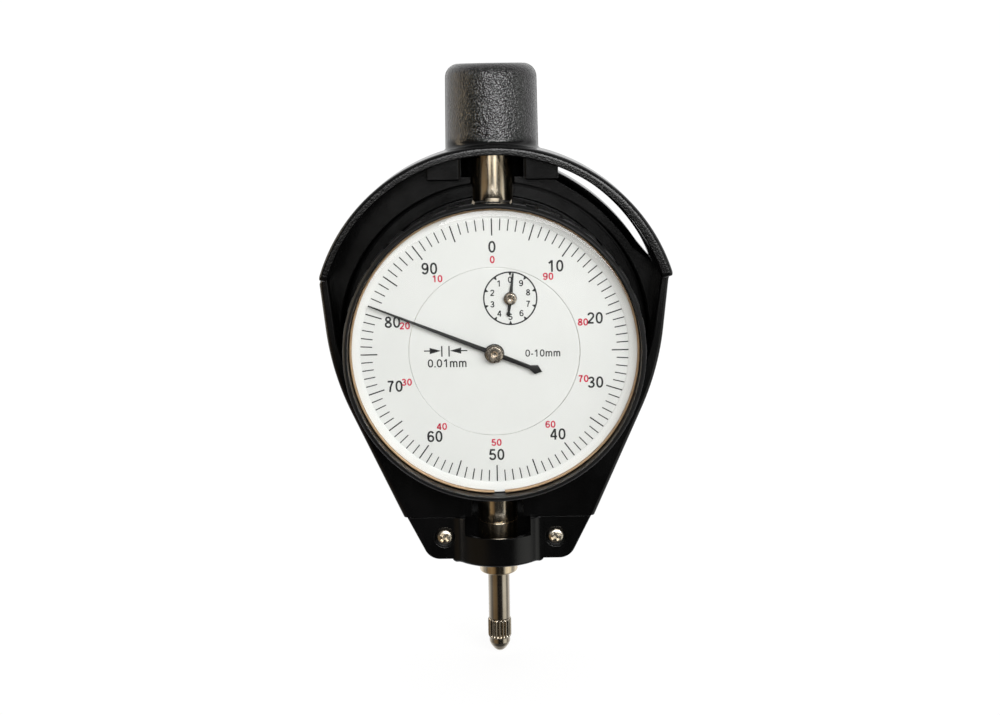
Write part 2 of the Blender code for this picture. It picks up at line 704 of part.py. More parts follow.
def counter_group(counter, looks):
    profile = [
        (0.0, 13.6),
        (0.45, 13.6),
        (0.45, 6.75),
        (0.85, 6.75),
        (0.85, 5.45),
        (0.45, 5.45),
        (0.45, 3.65),
        (PIVOT_RADIUS, 3.65),
        (PIVOT_RADIUS, PLATE_REAR + FIT),
        (0.0, PLATE_REAR + FIT),
    ]
    turned("counter_arbor", counter, profile, looks["steel"], SMALL_STEPS)
    outline = gear_outline(WHEEL_TEETH, GEAR_LINE_ANGLE + math.pi, flat_tips=False)
    bore = circle((0.0, 0.0), 0.45 + FIT, SMALL_STEPS)
    low, high = COUNTER_WHEEL_REAR, COUNTER_WHEEL_REAR + WHEEL_THICKNESS
    flat("counter_wheel", counter, [outline, bore], low, high, looks["brass"])
    hub = [
        (0.95, 13.85),
        (1.2, 13.7),
        (1.2, 13.4),
        (0.7, 13.4),
        (0.7, 13.05),
        (0.5, 13.05),
        (0.5, 13.85),
    ]
    turned("counter_pointer_hub", counter, hub, looks["nickel"], steps=16, closed=True)
    pointer = pointer_outline(4.8, 3.3, 0.26, 0.1, 1.25, 0.42)
    hole = circle((0.0, 0.0), 0.7 + FIT, 16)
    low, high = COUNTER_POINTER_REAR, COUNTER_POINTER_FRONT
    needle = flat("counter_pointer", counter, [pointer, hole], low, high, looks["black"])
    needle.rotation_euler = (0.0, 0.0, -COUNTER_REST)


def movement(dial, looks):
    gear_holes = [(0.0, 0.0), (COUNTER_X, COUNTER_Y)]
    plate_screws = [(CASE_BOSS, CASE_BOSS), (-CASE_BOSS, -CASE_BOSS)]
    loops = [circle((0.0, 0.0), CASE_BORE - 0.4, DISC_STEPS)]
    loops += [circle(at, JEWEL_RADIUS + FIT, SMALL_STEPS) for at in gear_holes]
    loops += [circle((-COUNTER_X, -COUNTER_Y), 1.0, SMALL_STEPS)]
    cock_screw = (-COUNTER_X + COCK_SCREW_X, -COUNTER_Y)
    loops += [circle(at, MOVEMENT_SCREW_HOLE, SMALL_STEPS) for at in (*plate_screws, cock_screw)]
    plate = flat("movement_plate", dial, loops, PLATE_REAR, PLATE_FRONT, looks["brass"])
    stem_notch = box("plate_stem_notch", dial, (-4.3, -30.0, 0.0), (4.3, -24.2, 5.0))
    collar_notch = box("plate_collar_notch", dial, (-2.4, -30.0, 0.0), (2.4, -12.6, 5.0))
    cut(plate, stem_notch, collar_notch)
    for name, at in zip(("upper", "lower"), plate_screws):
        movement_screw(f"plate_screw_{name}", dial, at, PLATE_FRONT + FIT, 5.0, looks["steel"])


def movement_top(dial, looks):
    """The bridge that holds the arbors' front ends, its pillars and its screws."""
    bridge = [outline_round((PILLARS[0], PILLARS[2], PILLARS[1]), 2.1, 6)]
    arbors = ((0.0, 0.0), (COUNTER_X, COUNTER_Y), (-COUNTER_X, -COUNTER_Y))
    bridge += [circle(at, JEWEL_RADIUS + FIT, SMALL_STEPS) for at in arbors]
    bridge += [circle(at, MOVEMENT_SCREW_HOLE, SMALL_STEPS) for at in PILLARS]
    flat("movement_bridge", dial, bridge, BRIDGE_REAR, BRIDGE_FRONT, looks["brass"])
    for i, at in enumerate(PILLARS):
        profile = ring_profile(0.65, 1.5, PLATE_FRONT + FIT, BRIDGE_REAR - FIT)
        turned(f"bridge_pillar_{i + 1}", dial, profile, looks["brass"], SMALL_STEPS, True, at)
        movement_screw(f"bridge_screw_{i + 1}", dial, at, BRIDGE_FRONT + FIT, 4.0, looks["steel"])


def jewels(dial, looks):
    places = {
        "centre": (0.0, 0.0, PLATE_REAR, 0.45),
        "counter": (COUNTER_X, COUNTER_Y, PLATE_REAR, 0.45),
        "rack": (-COUNTER_X, -COUNTER_Y, RACK_ARBOR_REAR, 0.5),
    }
    for name, (x, y, rear, radius) in places.items():
        for end, low, bore in (("rear", rear, PIVOT_RADIUS), ("front", BRIDGE_REAR, radius)):
            profile = ring_profile(bore + FIT, JEWEL_RADIUS, low + FIT, low + FIT + JEWEL_LENGTH)
            turned(f"jewel_{name}_{end}", dial, profile, looks["ruby"], SMALL_STEPS, True, (x, y))


def rack_cock(rack, looks):
    """The bracket behind the spindle that carries the rack arbor's rear pivot."""
    corner = (-5.4, -2.2, RACK_ARBOR_REAR)
    cock = box("rack_cock", rack, corner, (1.4, 3.0, RACK_ARBOR_REAR + 0.85), looks["brass"])
    leg = box("cock_leg", rack, corner, (-3.2, 3.0, PLATE_REAR - FIT))
    seat = cylinder("cock_jewel_seat", rack, JEWEL_RADIUS + FIT, -5.0, 0.0, segments=SMALL_STEPS)
    at = (COCK_SCREW_X, 0.0)
    hole = cylinder("cock_screw_hole", rack, MOVEMENT_SCREW_HOLE, -5.0, 5.0, at, SMALL_STEPS)
    cut(join(cock, leg), seat, hole)
    shank = MOVEMENT_SCREW_SHANK
    seat_height = RACK_ARBOR_REAR - FIT
    screw("cock_screw", rack, at, seat_height, 1.05, 0.7, shank, 6.8, looks["steel"], -1)


def guide_block(upright, looks):
    """The slotted block that the guide pin runs in, so that the spindle can't turn."""
    low = (3.0, -PLATE_REAR + FIT, GUIDE_PIN_HEIGHT - 2.6)
    high = (5.6, 2.0, GUIDE_PIN_HEIGHT + TRAVEL + 2.7)
    block = box("guide_block", upright, low, high, looks["brass"])
    half_width = GUIDE_PIN_RADIUS + 0.08
    slot_foot = GUIDE_PIN_HEIGHT - 0.9
    slot_head = GUIDE_PIN_HEIGHT + TRAVEL + 1.0
    slot = box("guide_slot", upright, (2.0, -half_width, slot_foot), (7.0, half_width, slot_head))
    return cut(block, slot)


def helix(radius, turns, low, high, points_per_turn):
    total = turns * points_per_turn
    path = []
    for i in range(total + 1):
        angle = 2 * math.pi * i / points_per_turn
        height = low + (high - low) * i / total
        path.append((radius * math.cos(angle), radius * math.sin(angle), height))
    return path


def spiral(inner, outer, turns, height, points_per_turn, start):
    total = turns * points_per_turn
    path = []
    for i in range(total + 1):
        angle = start + 2 * math.pi * i / points_per_turn
        radius = inner + (outer - inner) * i / total
        path.append((radius * math.cos(angle), radius * math.sin(angle), height))
    return path


def wire(name, parent, path, radius, look):
    curve = bpy.data.curves.new(name, "CURVE")
    curve.dimensions = "3D"
    curve.bevel_depth = radius * MM
    curve.bevel_resolution = 0
    curve.use_fill_caps = True
    spline = curve.splines.new("POLY")
    spline.points.add(len(path) - 1)
    for point, place in zip(spline.points, path):
        point.co = (*(value * MM for value in place), 1.0)
    bent = bpy.data.objects.new(name + "_path", curve)
    return mesh_of_curve(name, parent, bent, look, smooth=True)


def springs(dial, counter, upright, looks):
    spring_head = GUIDE_PIN_HEIGHT - 0.9
    coil = helix(SPRING_RADIUS, 14, SPRING_FOOT, spring_head, 7)
    coil = [(x + SPRING_X, y, z) for x, y, z in coil]
    wire("return_spring", upright, coil, SPRING_WIRE, looks["steel"])
    at = (SPRING_X, SPRING_FOOT - 1.1)
    cylinder("spring_post", upright, 0.6, -PLATE_REAR + FIT, 1.6, at, 12, looks["steel"], "y")
    turns, outer, stud_radius = 4, 5.5, 0.5
    wire_radius, start = 0.1, math.radians(200)
    path = spiral(1.1, outer, turns, HAIRSPRING_HEIGHT, 12, start)
    wire("hairspring", counter, path, wire_radius, looks["spring"])
    reach = outer + wire_radius + FIT + stud_radius
    at = (reach * math.cos(start), reach * math.sin(start))
    foot, head = HAIRSPRING_HEIGHT - 0.4, BRIDGE_REAR - FIT
    cylinder("hairspring_stud", counter, stud_radius, foot, head, at, 12, looks["steel"])
    friction = arc((0.0, 0.0), 27.62, math.radians(100), math.radians(440), DISC_STEPS)
    ring = [(x, y, 9.2) for x, y in friction]
    wire("bezel_friction_spring", dial, ring, 0.32, looks["spring"])


def bezel_group(dial, looks):
    lug = 2 * math.pi / BEZEL_LUGS
    lobes = []
    for i in range(BEZEL_LUGS):
        middle = i * lug
        half = lug * BEZEL_LUG_SHARE / 2
        flank = lug * 0.05
        lobes += arc((0.0, 0.0), BEZEL_RADIUS, middle - half, middle + half, 1)
        lobes += arc(
            (0.0, 0.0), BEZEL_GROOVE_RADIUS, middle + half + flank, middle + lug - half - flank, 1
        )
    turned_part = [
        (28.5, BEZEL_FRONT),
        (28.9, BEZEL_FRONT - 0.4),
        (28.9, 15.0),
        (28.5, 15.0),
        (28.5, 9.6),
        (28.75, 9.6),
        (28.75, BEZEL_REAR),
        (27.85, BEZEL_REAR),
        (27.85, 8.7),
        (28.15, 8.7),
        (28.15, 9.7),
        (27.85, 9.7),
        (27.85, 11.45),
        (26.9, 11.45),
        (26.9, 12.4),
        (BEZEL_BORE, 12.4),
        (BEZEL_BORE, BEZEL_FRONT),
    ]
    bezel = turned("bezel", dial, turned_part, looks["guard"], steps=DISC_STEPS, closed=True)
    band = flat("bezel_band", dial, [lobes, circle((0.0, 0.0), 28.2, DISC_STEPS)], 9.7, 14.9)
    join(bezel, band)
    dome = [
        (0.0, 16.85),
        (14.0, 16.8),
        (27.2, 16.6),
        (28.0, 16.3),
        (28.0, 15.5),
        (0.0, 15.5),
    ]
    turned("crystal", dial, dome, looks["glass"], steps=DISC_STEPS)
    gap = math.radians(2.1)
    middle = math.radians(-88.0)
    outer = arc((0.0, 0.0), 27.9, middle + gap, middle - gap + 2 * math.pi, DISC_STEPS)
    inner = arc((0.0, 0.0), 27.4, middle - gap + 2 * math.pi, middle + gap, DISC_STEPS)
    flat("snap_ring", dial, [outer + inner], 13.45, 14.3, looks["brass"])
    back = DIAL_FRONT - DIAL_THICKNESS
    loops = [circle((0.0, 0.0), radius, DISC_STEPS) for radius in (27.95, PLATE_RADIUS + 0.1)]
    flat("dial_ring", dial, loops, back, DIAL_FRONT, looks["dial"])
    rim = [(27.9, 13.4), (27.9, DIAL_FRONT + 0.02), (25.95, DIAL_FRONT + 0.02), (25.95, 13.15)]
    turned("dial_rim", dial, rim, looks["dial"], steps=DISC_STEPS, closed=True)


def dial_plate(dial, looks):
    front = DIAL_FRONT - 0.15
    hole = circle((0.0, 0.0), 0.9, SMALL_STEPS)
    counter_hole = circle((COUNTER_X, COUNTER_Y), 0.8, SMALL_STEPS)
    outline = circle((0.0, 0.0), PLATE_RADIUS, DISC_STEPS)
    plate = flat("dial_plate", dial, [outline, hole, counter_hole], front - 0.5, front, looks["dial"])
    feet = [(-4.6, 5.4), (-6.4, -4.6)]
    for i, at in enumerate(feet):
        join(plate, cylinder(f"dial_foot_{i}", dial, 1.0, BRIDGE_FRONT + FIT, front - 0.25, at, SMALL_STEPS))
    return plate


def all_materials():
    return {
        "guard": material("guard_black", (0.012, 0.013, 0.014), 0.42),
        "black": material("pointer_black", (0.015, 0.015, 0.016), 0.35, 0.2),
        "case": material("case_black", (0.02, 0.021, 0.022), 0.35, 0.3),
        "nickel": material("warm_nickel", (0.72, 0.66, 0.57), 0.22, 1.0),
        "steel": material("steel", (0.56, 0.54, 0.51), 0.28, 1.0),
        "screw": material("screw_steel", (0.66, 0.64, 0.6), 0.3, 1.0),
        "brass": material("brass", (0.72, 0.54, 0.27), 0.3, 1.0),
        "spring": material("spring_steel", (0.45, 0.45, 0.47), 0.25, 1.0),
        "ruby": material("ruby", (0.55, 0.03, 0.07), 0.08),
        "dial": material("dial_white", (0.84, 0.84, 0.83), 0.4),
        "glass": material("crystal_clear", (0.95, 0.97, 0.97), 0.03),
    }


def build():
    looks = all_materials()
    upright = empty("spindle_axis", (0.0, 0.0, 0.0), facing=False)
    dial = empty("dial_axis", (0.0, 0.0, DIAL_HEIGHT))
    rack = empty("rack_axis", (-COUNTER_X, 0.0, DIAL_HEIGHT - COUNTER_Y))
    counter = empty("counter_axis", (COUNTER_X, 0.0, DIAL_HEIGHT + COUNTER_Y))
    bpy.context.view_layer.update()
    front_frame(dial, upright, looks)
    rear_shell(dial, upright, looks)
    base_clamp(dial, upright, looks)
    guard_fasteners(dial, looks)
    case_body(dial, upright, looks)
    back_cover(dial, looks)
    stem_and_tube(upright, looks)
    spindle_group(upright, looks)
    contact_point(upright, looks)
    rack_arbor_group(rack, looks)
    centre_group(dial, looks)
    counter_group(counter, looks)
    movement(dial, looks)
    movement_top(dial, looks)
    jewels(dial, looks)
    rack_cock(rack, looks)
    guide_block(upright, looks)
    springs(dial, counter, upright, looks)
    bezel_group(dial, looks)
    dial_plate(dial, looks)
    bpy.context.view_layer.update()


clear_scene()
PARTS = new_collection("dial_indicator")
CUTTERS = new_collection("cutters")
build()
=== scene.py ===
"""Looks for the dial indicator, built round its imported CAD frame.

Lengths are in millimetres until a mesh is made. Points of the pieces that face the reader are
(x, y, h): x to the right, y up from the dial's centre and h out of the dial, which is -Y. Points of
upright pieces are the frame's own x, y and z.
"""

import json
import math

import bmesh
import bpy
from mathutils import Matrix, Vector

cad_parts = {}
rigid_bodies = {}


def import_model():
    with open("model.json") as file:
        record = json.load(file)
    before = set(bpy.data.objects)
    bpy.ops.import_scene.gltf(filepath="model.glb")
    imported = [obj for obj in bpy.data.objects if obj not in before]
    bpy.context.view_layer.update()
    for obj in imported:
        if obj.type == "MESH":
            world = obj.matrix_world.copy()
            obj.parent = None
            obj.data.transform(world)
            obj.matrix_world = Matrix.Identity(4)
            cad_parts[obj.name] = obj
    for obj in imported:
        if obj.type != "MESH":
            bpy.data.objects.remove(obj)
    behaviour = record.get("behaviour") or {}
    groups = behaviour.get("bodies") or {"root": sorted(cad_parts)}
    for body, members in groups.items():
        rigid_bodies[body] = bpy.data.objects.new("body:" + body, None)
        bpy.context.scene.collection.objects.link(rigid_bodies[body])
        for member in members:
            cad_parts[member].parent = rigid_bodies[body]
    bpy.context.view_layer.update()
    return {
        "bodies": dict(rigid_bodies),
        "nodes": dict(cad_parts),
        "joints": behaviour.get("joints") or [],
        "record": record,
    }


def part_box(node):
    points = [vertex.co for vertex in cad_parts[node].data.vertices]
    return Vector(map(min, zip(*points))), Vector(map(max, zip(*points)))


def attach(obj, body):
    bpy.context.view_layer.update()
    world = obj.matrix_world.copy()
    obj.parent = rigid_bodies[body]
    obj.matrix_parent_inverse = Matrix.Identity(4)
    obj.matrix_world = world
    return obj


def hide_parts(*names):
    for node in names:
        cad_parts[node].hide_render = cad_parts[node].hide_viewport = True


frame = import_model()
NODES = frame["nodes"]
MM = 0.001
TAU = 2 * math.pi


def span(node):
    """A CAD node's box in millimetres: (lowest corner, highest corner)."""
    low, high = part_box(node)
    return low / MM, high / MM


def depth(node):
    """How far a node reaches along the dial's axis: (rear, front)."""
    low, high = span(node)
    return -high.y, -low.y


# Where things are, read from the CAD boxes
RING_BOX = span("dial_ring")
DIAL_Z = (RING_BOX[0].z + RING_BOX[1].z) / 2
DIAL_FRONT = depth("dial_ring")[1]
PLATE_FRONT = depth("dial_plate")[1]
PLATE_RADIUS = (span("dial_plate")[1].x - span("dial_plate")[0].x) / 2
BEZEL_RADIUS = span("bezel")[1].x
BEZEL_REAR, BEZEL_FRONT = depth("bezel")
COUNTER_BOX = span("counter_wheel")
COUNTER_X = (COUNTER_BOX[0].x + COUNTER_BOX[1].x) / 2
COUNTER_Y = (COUNTER_BOX[0].z + COUNTER_BOX[1].z) / 2 - DIAL_Z
VISOR_FRONT = depth("front_frame")[1]
GUARD_REAR = depth("rear_shell")[0]
CAP_TOP = span("front_frame")[1].z
STEM_RADIUS = span("stem")[1].x
STEM_FOOT, STEM_TOP = span("stem")[0].z, span("stem")[1].z
SPINDLE_RADIUS = span("spindle")[1].x
CONTACT_TOP = span("spindle")[0].z - 0.05
BOSS_FOOT = span("base_clamp")[0].z
FORWARD = 2.2  # the dial and its bezel stand this far in front of their CAD nodes


# ---------------------------------------------------------------- mesh tools


def dial_point(x, y, h):
    return Vector((x, -h, DIAL_Z + y)) * MM


def upright_point(x, y, z):
    return Vector((x, y, z)) * MM


def smooth_by_angle(mesh, degrees):
    mesh.shade_smooth()
    mesh.set_sharp_from_angle(angle=math.radians(degrees))


def from_bmesh(name, bm, degrees=35.0):
    bmesh.ops.remove_doubles(bm, verts=bm.verts, dist=2e-7)
    bmesh.ops.dissolve_degenerate(bm, dist=1e-8, edges=bm.edges)
    bmesh.ops.recalc_face_normals(bm, faces=bm.faces)
    mesh = bpy.data.meshes.new(name)
    bm.to_mesh(mesh)
    bm.free()
    smooth_by_angle(mesh, degrees)
    obj = bpy.data.objects.new(name, mesh)
    bpy.context.scene.collection.objects.link(obj)
    return obj


def loft(name, loops, place=dial_point, closed=False, degrees=35.0):
    """A skin over loops of equal length. The first and last are capped, or joined when closed."""
    bm = bmesh.new()
    rows = [[bm.verts.new(place(*point)) for point in loop] for loop in loops]
    pairs = list(zip(rows, rows[1:]))
    if closed:
        pairs.append((rows[-1], rows[0]))
    count = len(rows[0])
    for first, second in pairs:
        for i in range(count):
            j = (i + 1) % count
            bm.faces.new((first[i], first[j], second[j], second[i]))
    if not closed:
        bm.faces.new(list(reversed(rows[0])))
        bm.faces.new(rows[-1])
    return from_bmesh(name, bm, degrees)


def revolve(name, profile, centre=(0.0, 0.0), place=dial_point, steps=96, closed=False, degrees=35.0):
    """A profile of (radius, height) turned about the dial's axis, or about the spindle's."""
    bm = bmesh.new()
    rows = []
    for radius, height in profile:
        row = []
        for i in range(steps):
            angle = TAU * i / steps
            x = centre[0] + radius * math.cos(angle)
            y = centre[1] + radius * math.sin(angle)
            row.append(bm.verts.new(place(x, y, height)))
        rows.append(row)
    pairs = list(zip(rows, rows[1:]))
    if closed:
        pairs.append((rows[-1], rows[0]))
    for first, second in pairs:
        for i in range(steps):
            j = (i + 1) % steps
            bm.faces.new((first[i], first[j], second[j], second[i]))
    return from_bmesh(name, bm, degrees)


def arc(centre, radius, start, end, steps):
    """Points from start to end, angles in degrees from the x axis."""
    turns = [math.radians(start + (end - start) * i / steps) for i in range(steps + 1)]
    return [(centre[0] + radius * math.cos(a), centre[1] + radius * math.sin(a)) for a in turns]


def circle(centre, radius, steps=96):
    return arc(centre, radius, 0.0, 360.0, steps)[:-1]


def rounded(points, radii, steps=5, closed=True):
    """The outline with its corners rounded. radii is one number, or one for each corner."""
    if not hasattr(radii, "__len__"):
        radii = [radii] * len(points)
    out = []
    last = len(points) - 1
    for i, point in enumerate(points):
        radius = radii[i]
        if radius <= 0 or (not closed and i in (0, last)):
            out.append(tuple(point))
            continue
        corner = Vector(point)
        first = Vector(points[i - 1]) - corner
        second = Vector(points[(i + 1) % len(points)]) - corner
        half = first.angle(second) / 2
        if half > math.radians(89):
            out.append(tuple(point))
            continue
        reach = min(radius / math.tan(half), first.length * 0.49, second.length * 0.49)
        radius = reach * math.tan(half)
        first.normalize()
        second.normalize()
        centre = corner + (first + second).normalized() * radius / math.sin(half)
        start = corner + first * reach - centre
        sweep = start.angle_signed(corner + second * reach - centre)
        for k in range(steps + 1):
            turn = -sweep * k / steps
            spun = Matrix.Rotation(turn, 2) @ start
            out.append((centre.x + spun.x, centre.y + spun.y))
    return out


def mirrored(right_half):
    """A closed outline from its right half, which runs from the top down."""
    return right_half + [(-x, y) for x, y in reversed(right_half) if x > 1e-6]


def drawn_in(outline, inset):
    """The clockwise outline moved inwards, point by point."""
    if abs(inset) < 1e-9:
        return list(outline)
    out = []
    count = len(outline)
    for i, (x, y) in enumerate(outline):
        before = Vector((x, y)) - Vector(outline[i - 1])
        after = Vector(outline[(i + 1) % count]) - Vector((x, y))
        before.normalize()
        after.normalize()
        one = Vector((before.y, -before.x))
        two = Vector((after.y, -after.x))
        normal = (one + two).normalized()
        reach = inset / max(0.35, normal.dot(one))
        out.append((x + normal.x * reach, y + normal.y * reach))
    return out


def soft_plate(name, outline, low, high, low_round, high_round, steps=5, place=None):
    """A plate over a clockwise outline, with its lower and upper edges rounded."""
    levels = []
    if low_round:
        for k in range(steps + 1):
            angle = math.pi / 2 * k / steps
            levels.append((low_round * (1 - math.sin(angle)), low + low_round * (1 - math.cos(angle))))
    else:
        levels.append((0.0, low))
    if high_round:
        for k in range(steps + 1):
            angle = math.pi / 2 * k / steps
            levels.append(
                (high_round * (1 - math.cos(angle)), high - high_round * (1 - math.sin(angle)))
            )
    else:
        levels.append((0.0, high))
    loops = [[(x, y, h) for x, y in drawn_in(outline, inset)] for inset, h in levels]
    return loft(name, loops, place or dial_point)


def sheet(name, loops, low, high, soft=0.0, place=dial_point, degrees=35.0):
    """A plate from a filled 2D curve, whose first loop is its outline and the others its holes."""
    curve = bpy.data.curves.new(name, "CURVE")
    curve.dimensions = "2D"
    curve.fill_mode = "BOTH"
    curve.extrude = ((high - low) / 2 - soft) * MM
    curve.bevel_depth = soft * MM
    curve.bevel_resolution = 2 if soft else 0
    curve.offset = -soft * MM
    for loop in loops:
        spline = curve.splines.new("POLY")
        spline.points.add(len(loop) - 1)
        for point, (x, y) in zip(spline.points, loop):
            point.co = (x * MM, y * MM, 0.0, 1.0)
        spline.use_cyclic_u = True
    drawn = bpy.data.objects.new(name + "_curve", curve)
    bpy.context.scene.collection.objects.link(drawn)
    graph = bpy.context.evaluated_depsgraph_get()
    graph.update()
    mesh = bpy.data.meshes.new_from_object(drawn.evaluated_get(graph))
    bm = bmesh.new()
    bm.from_mesh(mesh)
    middle = (low + high) / 2
    for vert in bm.verts:
        vert.co = place(vert.co.x / MM, vert.co.y / MM, vert.co.z / MM + middle)
    bpy.data.objects.remove(drawn, do_unlink=True)
    return from_bmesh(name, bm, degrees)


def block(name, low, high, soft=0.0, place=dial_point):
    outline = [(low[0], high[1]), (high[0], high[1]), (high[0], low[1]), (low[0], low[1])]
    if soft:
        return soft_plate(name, rounded(outline, soft, 3), low[2], high[2], soft * 0.9, soft * 0.9, 3, place)
    return soft_plate(name, outline, low[2], high[2], 0.0, 0.0, place=place)


def settle(obj, degrees=35.0):
    """Applies the modifiers to the mesh."""
    graph = bpy.context.evaluated_depsgraph_get()
    graph.update()
    mesh = bpy.data.meshes.new_from_object(obj.evaluated_get(graph))
    obj.modifiers.clear()
    obj.data = mesh
    smooth_by_angle(mesh, degrees)
    return obj


def boolean(target, operation, others, degrees=35.0):
    for other in others:
        modifier = target.modifiers.new(other.name, "BOOLEAN")
        modifier.operation = operation
        modifier.solver = "EXACT"
        modifier.object = other
    settle(target, degrees)
    for other in others:
        bpy.data.objects.remove(other, do_unlink=True)
    return target


def cut(target, *others):
    return boolean(target, "DIFFERENCE", others)


def join(target, *others):
    return boolean(target, "UNION", others)


def tidy_normals(obj):
    """Flat faces keep flat shading beside small rounded edges."""
    modifier = obj.modifiers.new("weighted", "WEIGHTED_NORMAL")
    modifier.keep_sharp = True
    modifier.weight = 80
    return obj


def piece(obj, body, look, slot, *nodes):
    """Hangs a finished piece on its body, in place of the CAD nodes it stands for."""
    obj.data.materials.clear()
    obj.data.materials.append(look)
    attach(obj, body)
    if nodes:
        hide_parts(*nodes)
    return obj


def face_piece(obj, *hang):
    """A piece of the dial's face, drawn at its CAD node's height and then brought FORWARD."""
    obj.data.transform(Matrix.Translation((0.0, -FORWARD * MM, 0.0)))
    return piece(obj, *hang)


# ---------------------------------------------------------------- materials


class Look:
    """A material built from nodes. Each method adds nodes and returns a socket."""

    def __init__(self, name, colour, roughness, metallic=0.0):
        self.made = bpy.data.materials.new(name)
        self.made.use_nodes = True
        self.tree = self.made.node_tree
        self.shader = self.tree.nodes["Principled BSDF"]
        self.set("Base Color", (*colour, 1.0))
        self.set("Roughness", roughness)
        self.set("Metallic", metallic)
        self.place = self.node("ShaderNodeTexCoord").outputs["Object"]

    def node(self, kind, **values):
        made = self.tree.nodes.new(kind)
        for key, value in values.items():
            setattr(made, key, value)
        return made

    def link(self, out, into):
        self.tree.links.new(out, into)
        return out

    def set(self, name, value):
        self.shader.inputs[name].default_value = value
        return self

    def drive(self, name, out):
        self.link(out, self.shader.inputs[name])
        return self

    def stretched(self, scale):
        mapping = self.node("ShaderNodeMapping")
        mapping.inputs["Scale"].default_value = scale
        self.link(self.place, mapping.inputs["Vector"])
        return mapping.outputs["Vector"]

    def noise(self, scale, detail=3.0, roughness=0.5, stretch=None):
        made = self.node("ShaderNodeTexNoise")
        made.inputs["Scale"].default_value = scale
        made.inputs["Detail"].default_value = detail
        made.inputs["Roughness"].default_value = roughness
        self.link(self.stretched(stretch) if stretch else self.place, made.inputs["Vector"])
        return made.outputs["Fac"]

    def cells(self, scale, feature="SMOOTH_F1", jitter=1.0):
        made = self.node("ShaderNodeTexVoronoi", feature=feature)
        made.inputs["Scale"].default_value = scale
        made.inputs["Randomness"].default_value = jitter
        self.link(self.place, made.inputs["Vector"])
        return made.outputs["Distance"]

    def spread(self, out, low, high, to_low, to_high):
        made = self.node("ShaderNodeMapRange")
        for key, value in zip(("From Min", "From Max", "To Min", "To Max"), (low, high, to_low, to_high)):
            made.inputs[key].default_value = value
        self.link(out, made.inputs["Value"])
        return made.outputs["Result"]

    def maths(self, operation, first, second):
        made = self.node("ShaderNodeMath", operation=operation)
        for socket, value in zip(made.inputs, (first, second)):
            if isinstance(value, (int, float)):
                socket.default_value = value
            else:
                self.link(value, socket)
        return made.outputs[0]

    def mixed(self, share, first, second):
        made = self.node("ShaderNodeMix", data_type="RGBA")
        if isinstance(share, (int, float)):
            made.inputs[0].default_value = share
        else:
            self.link(share, made.inputs[0])
        for index, value in ((6, first), (7, second)):
            if isinstance(value, tuple):
                made.inputs[index].default_value = (*value, 1.0)
            else:
                self.link(value, made.inputs[index])
        return made.outputs[2]

    def relief(self, height, strength, distance_mm, edge_mm=0.0):
        """Bump from a height, over edges that are softened by edge_mm."""
        bump = self.node("ShaderNodeBump")
        bump.inputs["Strength"].default_value = strength
        bump.inputs["Distance"].default_value = distance_mm * MM
        self.link(height, bump.inputs["Height"])
        if edge_mm:
            bevel = self.node("ShaderNodeBevel", samples=4)
            bevel.inputs["Radius"].default_value = edge_mm * MM
            self.link(bevel.outputs["Normal"], bump.inputs["Normal"])
        self.link(bump.outputs["Normal"], self.shader.inputs["Normal"])
        return bump

    def worn_edges(self, radius_mm, low, high):
        """How much an edge sticks out, 0 to 1, from how far a softened normal turns."""
        bevel = self.node("ShaderNodeBevel", samples=4)
        bevel.inputs["Radius"].default_value = radius_mm * MM
        geometry = self.node("ShaderNodeNewGeometry")
        dot = self.node("ShaderNodeVectorMath", operation="DOT_PRODUCT")
        self.link(bevel.outputs["Normal"], dot.inputs[0])
        self.link(geometry.outputs["Normal"], dot.inputs[1])
        return self.spread(self.maths("SUBTRACT", 1.0, dot.outputs["Value"]), low, high, 0.0, 1.0)


def moulded_plastic(name, base, roughness, grain_scale, grain_strength, edge_mm=0.12, shine=0.4, cap_from=None):
    """Black moulding with a leather-like grain and handling marks. The grain is coarse above cap_from."""
    look = Look(name, (base, base, base * 1.05), roughness)
    grain = look.maths(
        "ADD", look.cells(grain_scale), look.maths("MULTIPLY", look.noise(grain_scale * 1.7, 3.0, 0.7), 1.3)
    )
    height = look.maths("MULTIPLY", grain, grain_strength)
    look.set("Specular IOR Level", shine)
    if cap_from:
        split = look.node("ShaderNodeSeparateXYZ")
        look.link(look.place, split.inputs[0])
        on_cap = look.spread(split.outputs["Z"], cap_from * MM, (cap_from + 1.2) * MM, 0.0, 1.5)
        on_lip = look.spread(split.outputs["Y"], (0.7 - VISOR_FRONT) * MM, (0.3 - VISOR_FRONT) * MM, 0.0, 0.3)
        coarse = look.maths("MULTIPLY", look.maths("ADD", on_cap, on_lip), look.cells(4000.0))
        height = look.maths("ADD", height, coarse)
        look.drive("Specular IOR Level", look.spread(on_cap, 0.0, 1.5, shine, 0.8))
    look.relief(height, 1.0, 0.11, edge_mm)
    handling = look.noise(90.0, 4.0, 0.6)
    marks = look.noise(420.0, 5.0, 0.65, (1.0, 1.0, 0.35))
    blend = look.maths("ADD", look.maths("MULTIPLY", handling, 0.7), look.maths("MULTIPLY", marks, 0.3))
    look.drive("Roughness", look.maths("ADD", roughness, look.spread(blend, 0.3, 0.7, -0.04, 0.06)))
    look.drive(
        "Base Color",
        look.mixed(look.spread(blend, 0.35, 0.75, 0.0, 1.0), (base,) * 3, (base * 2.1, base * 2.1, base * 2.2)),
    )
    return look.made


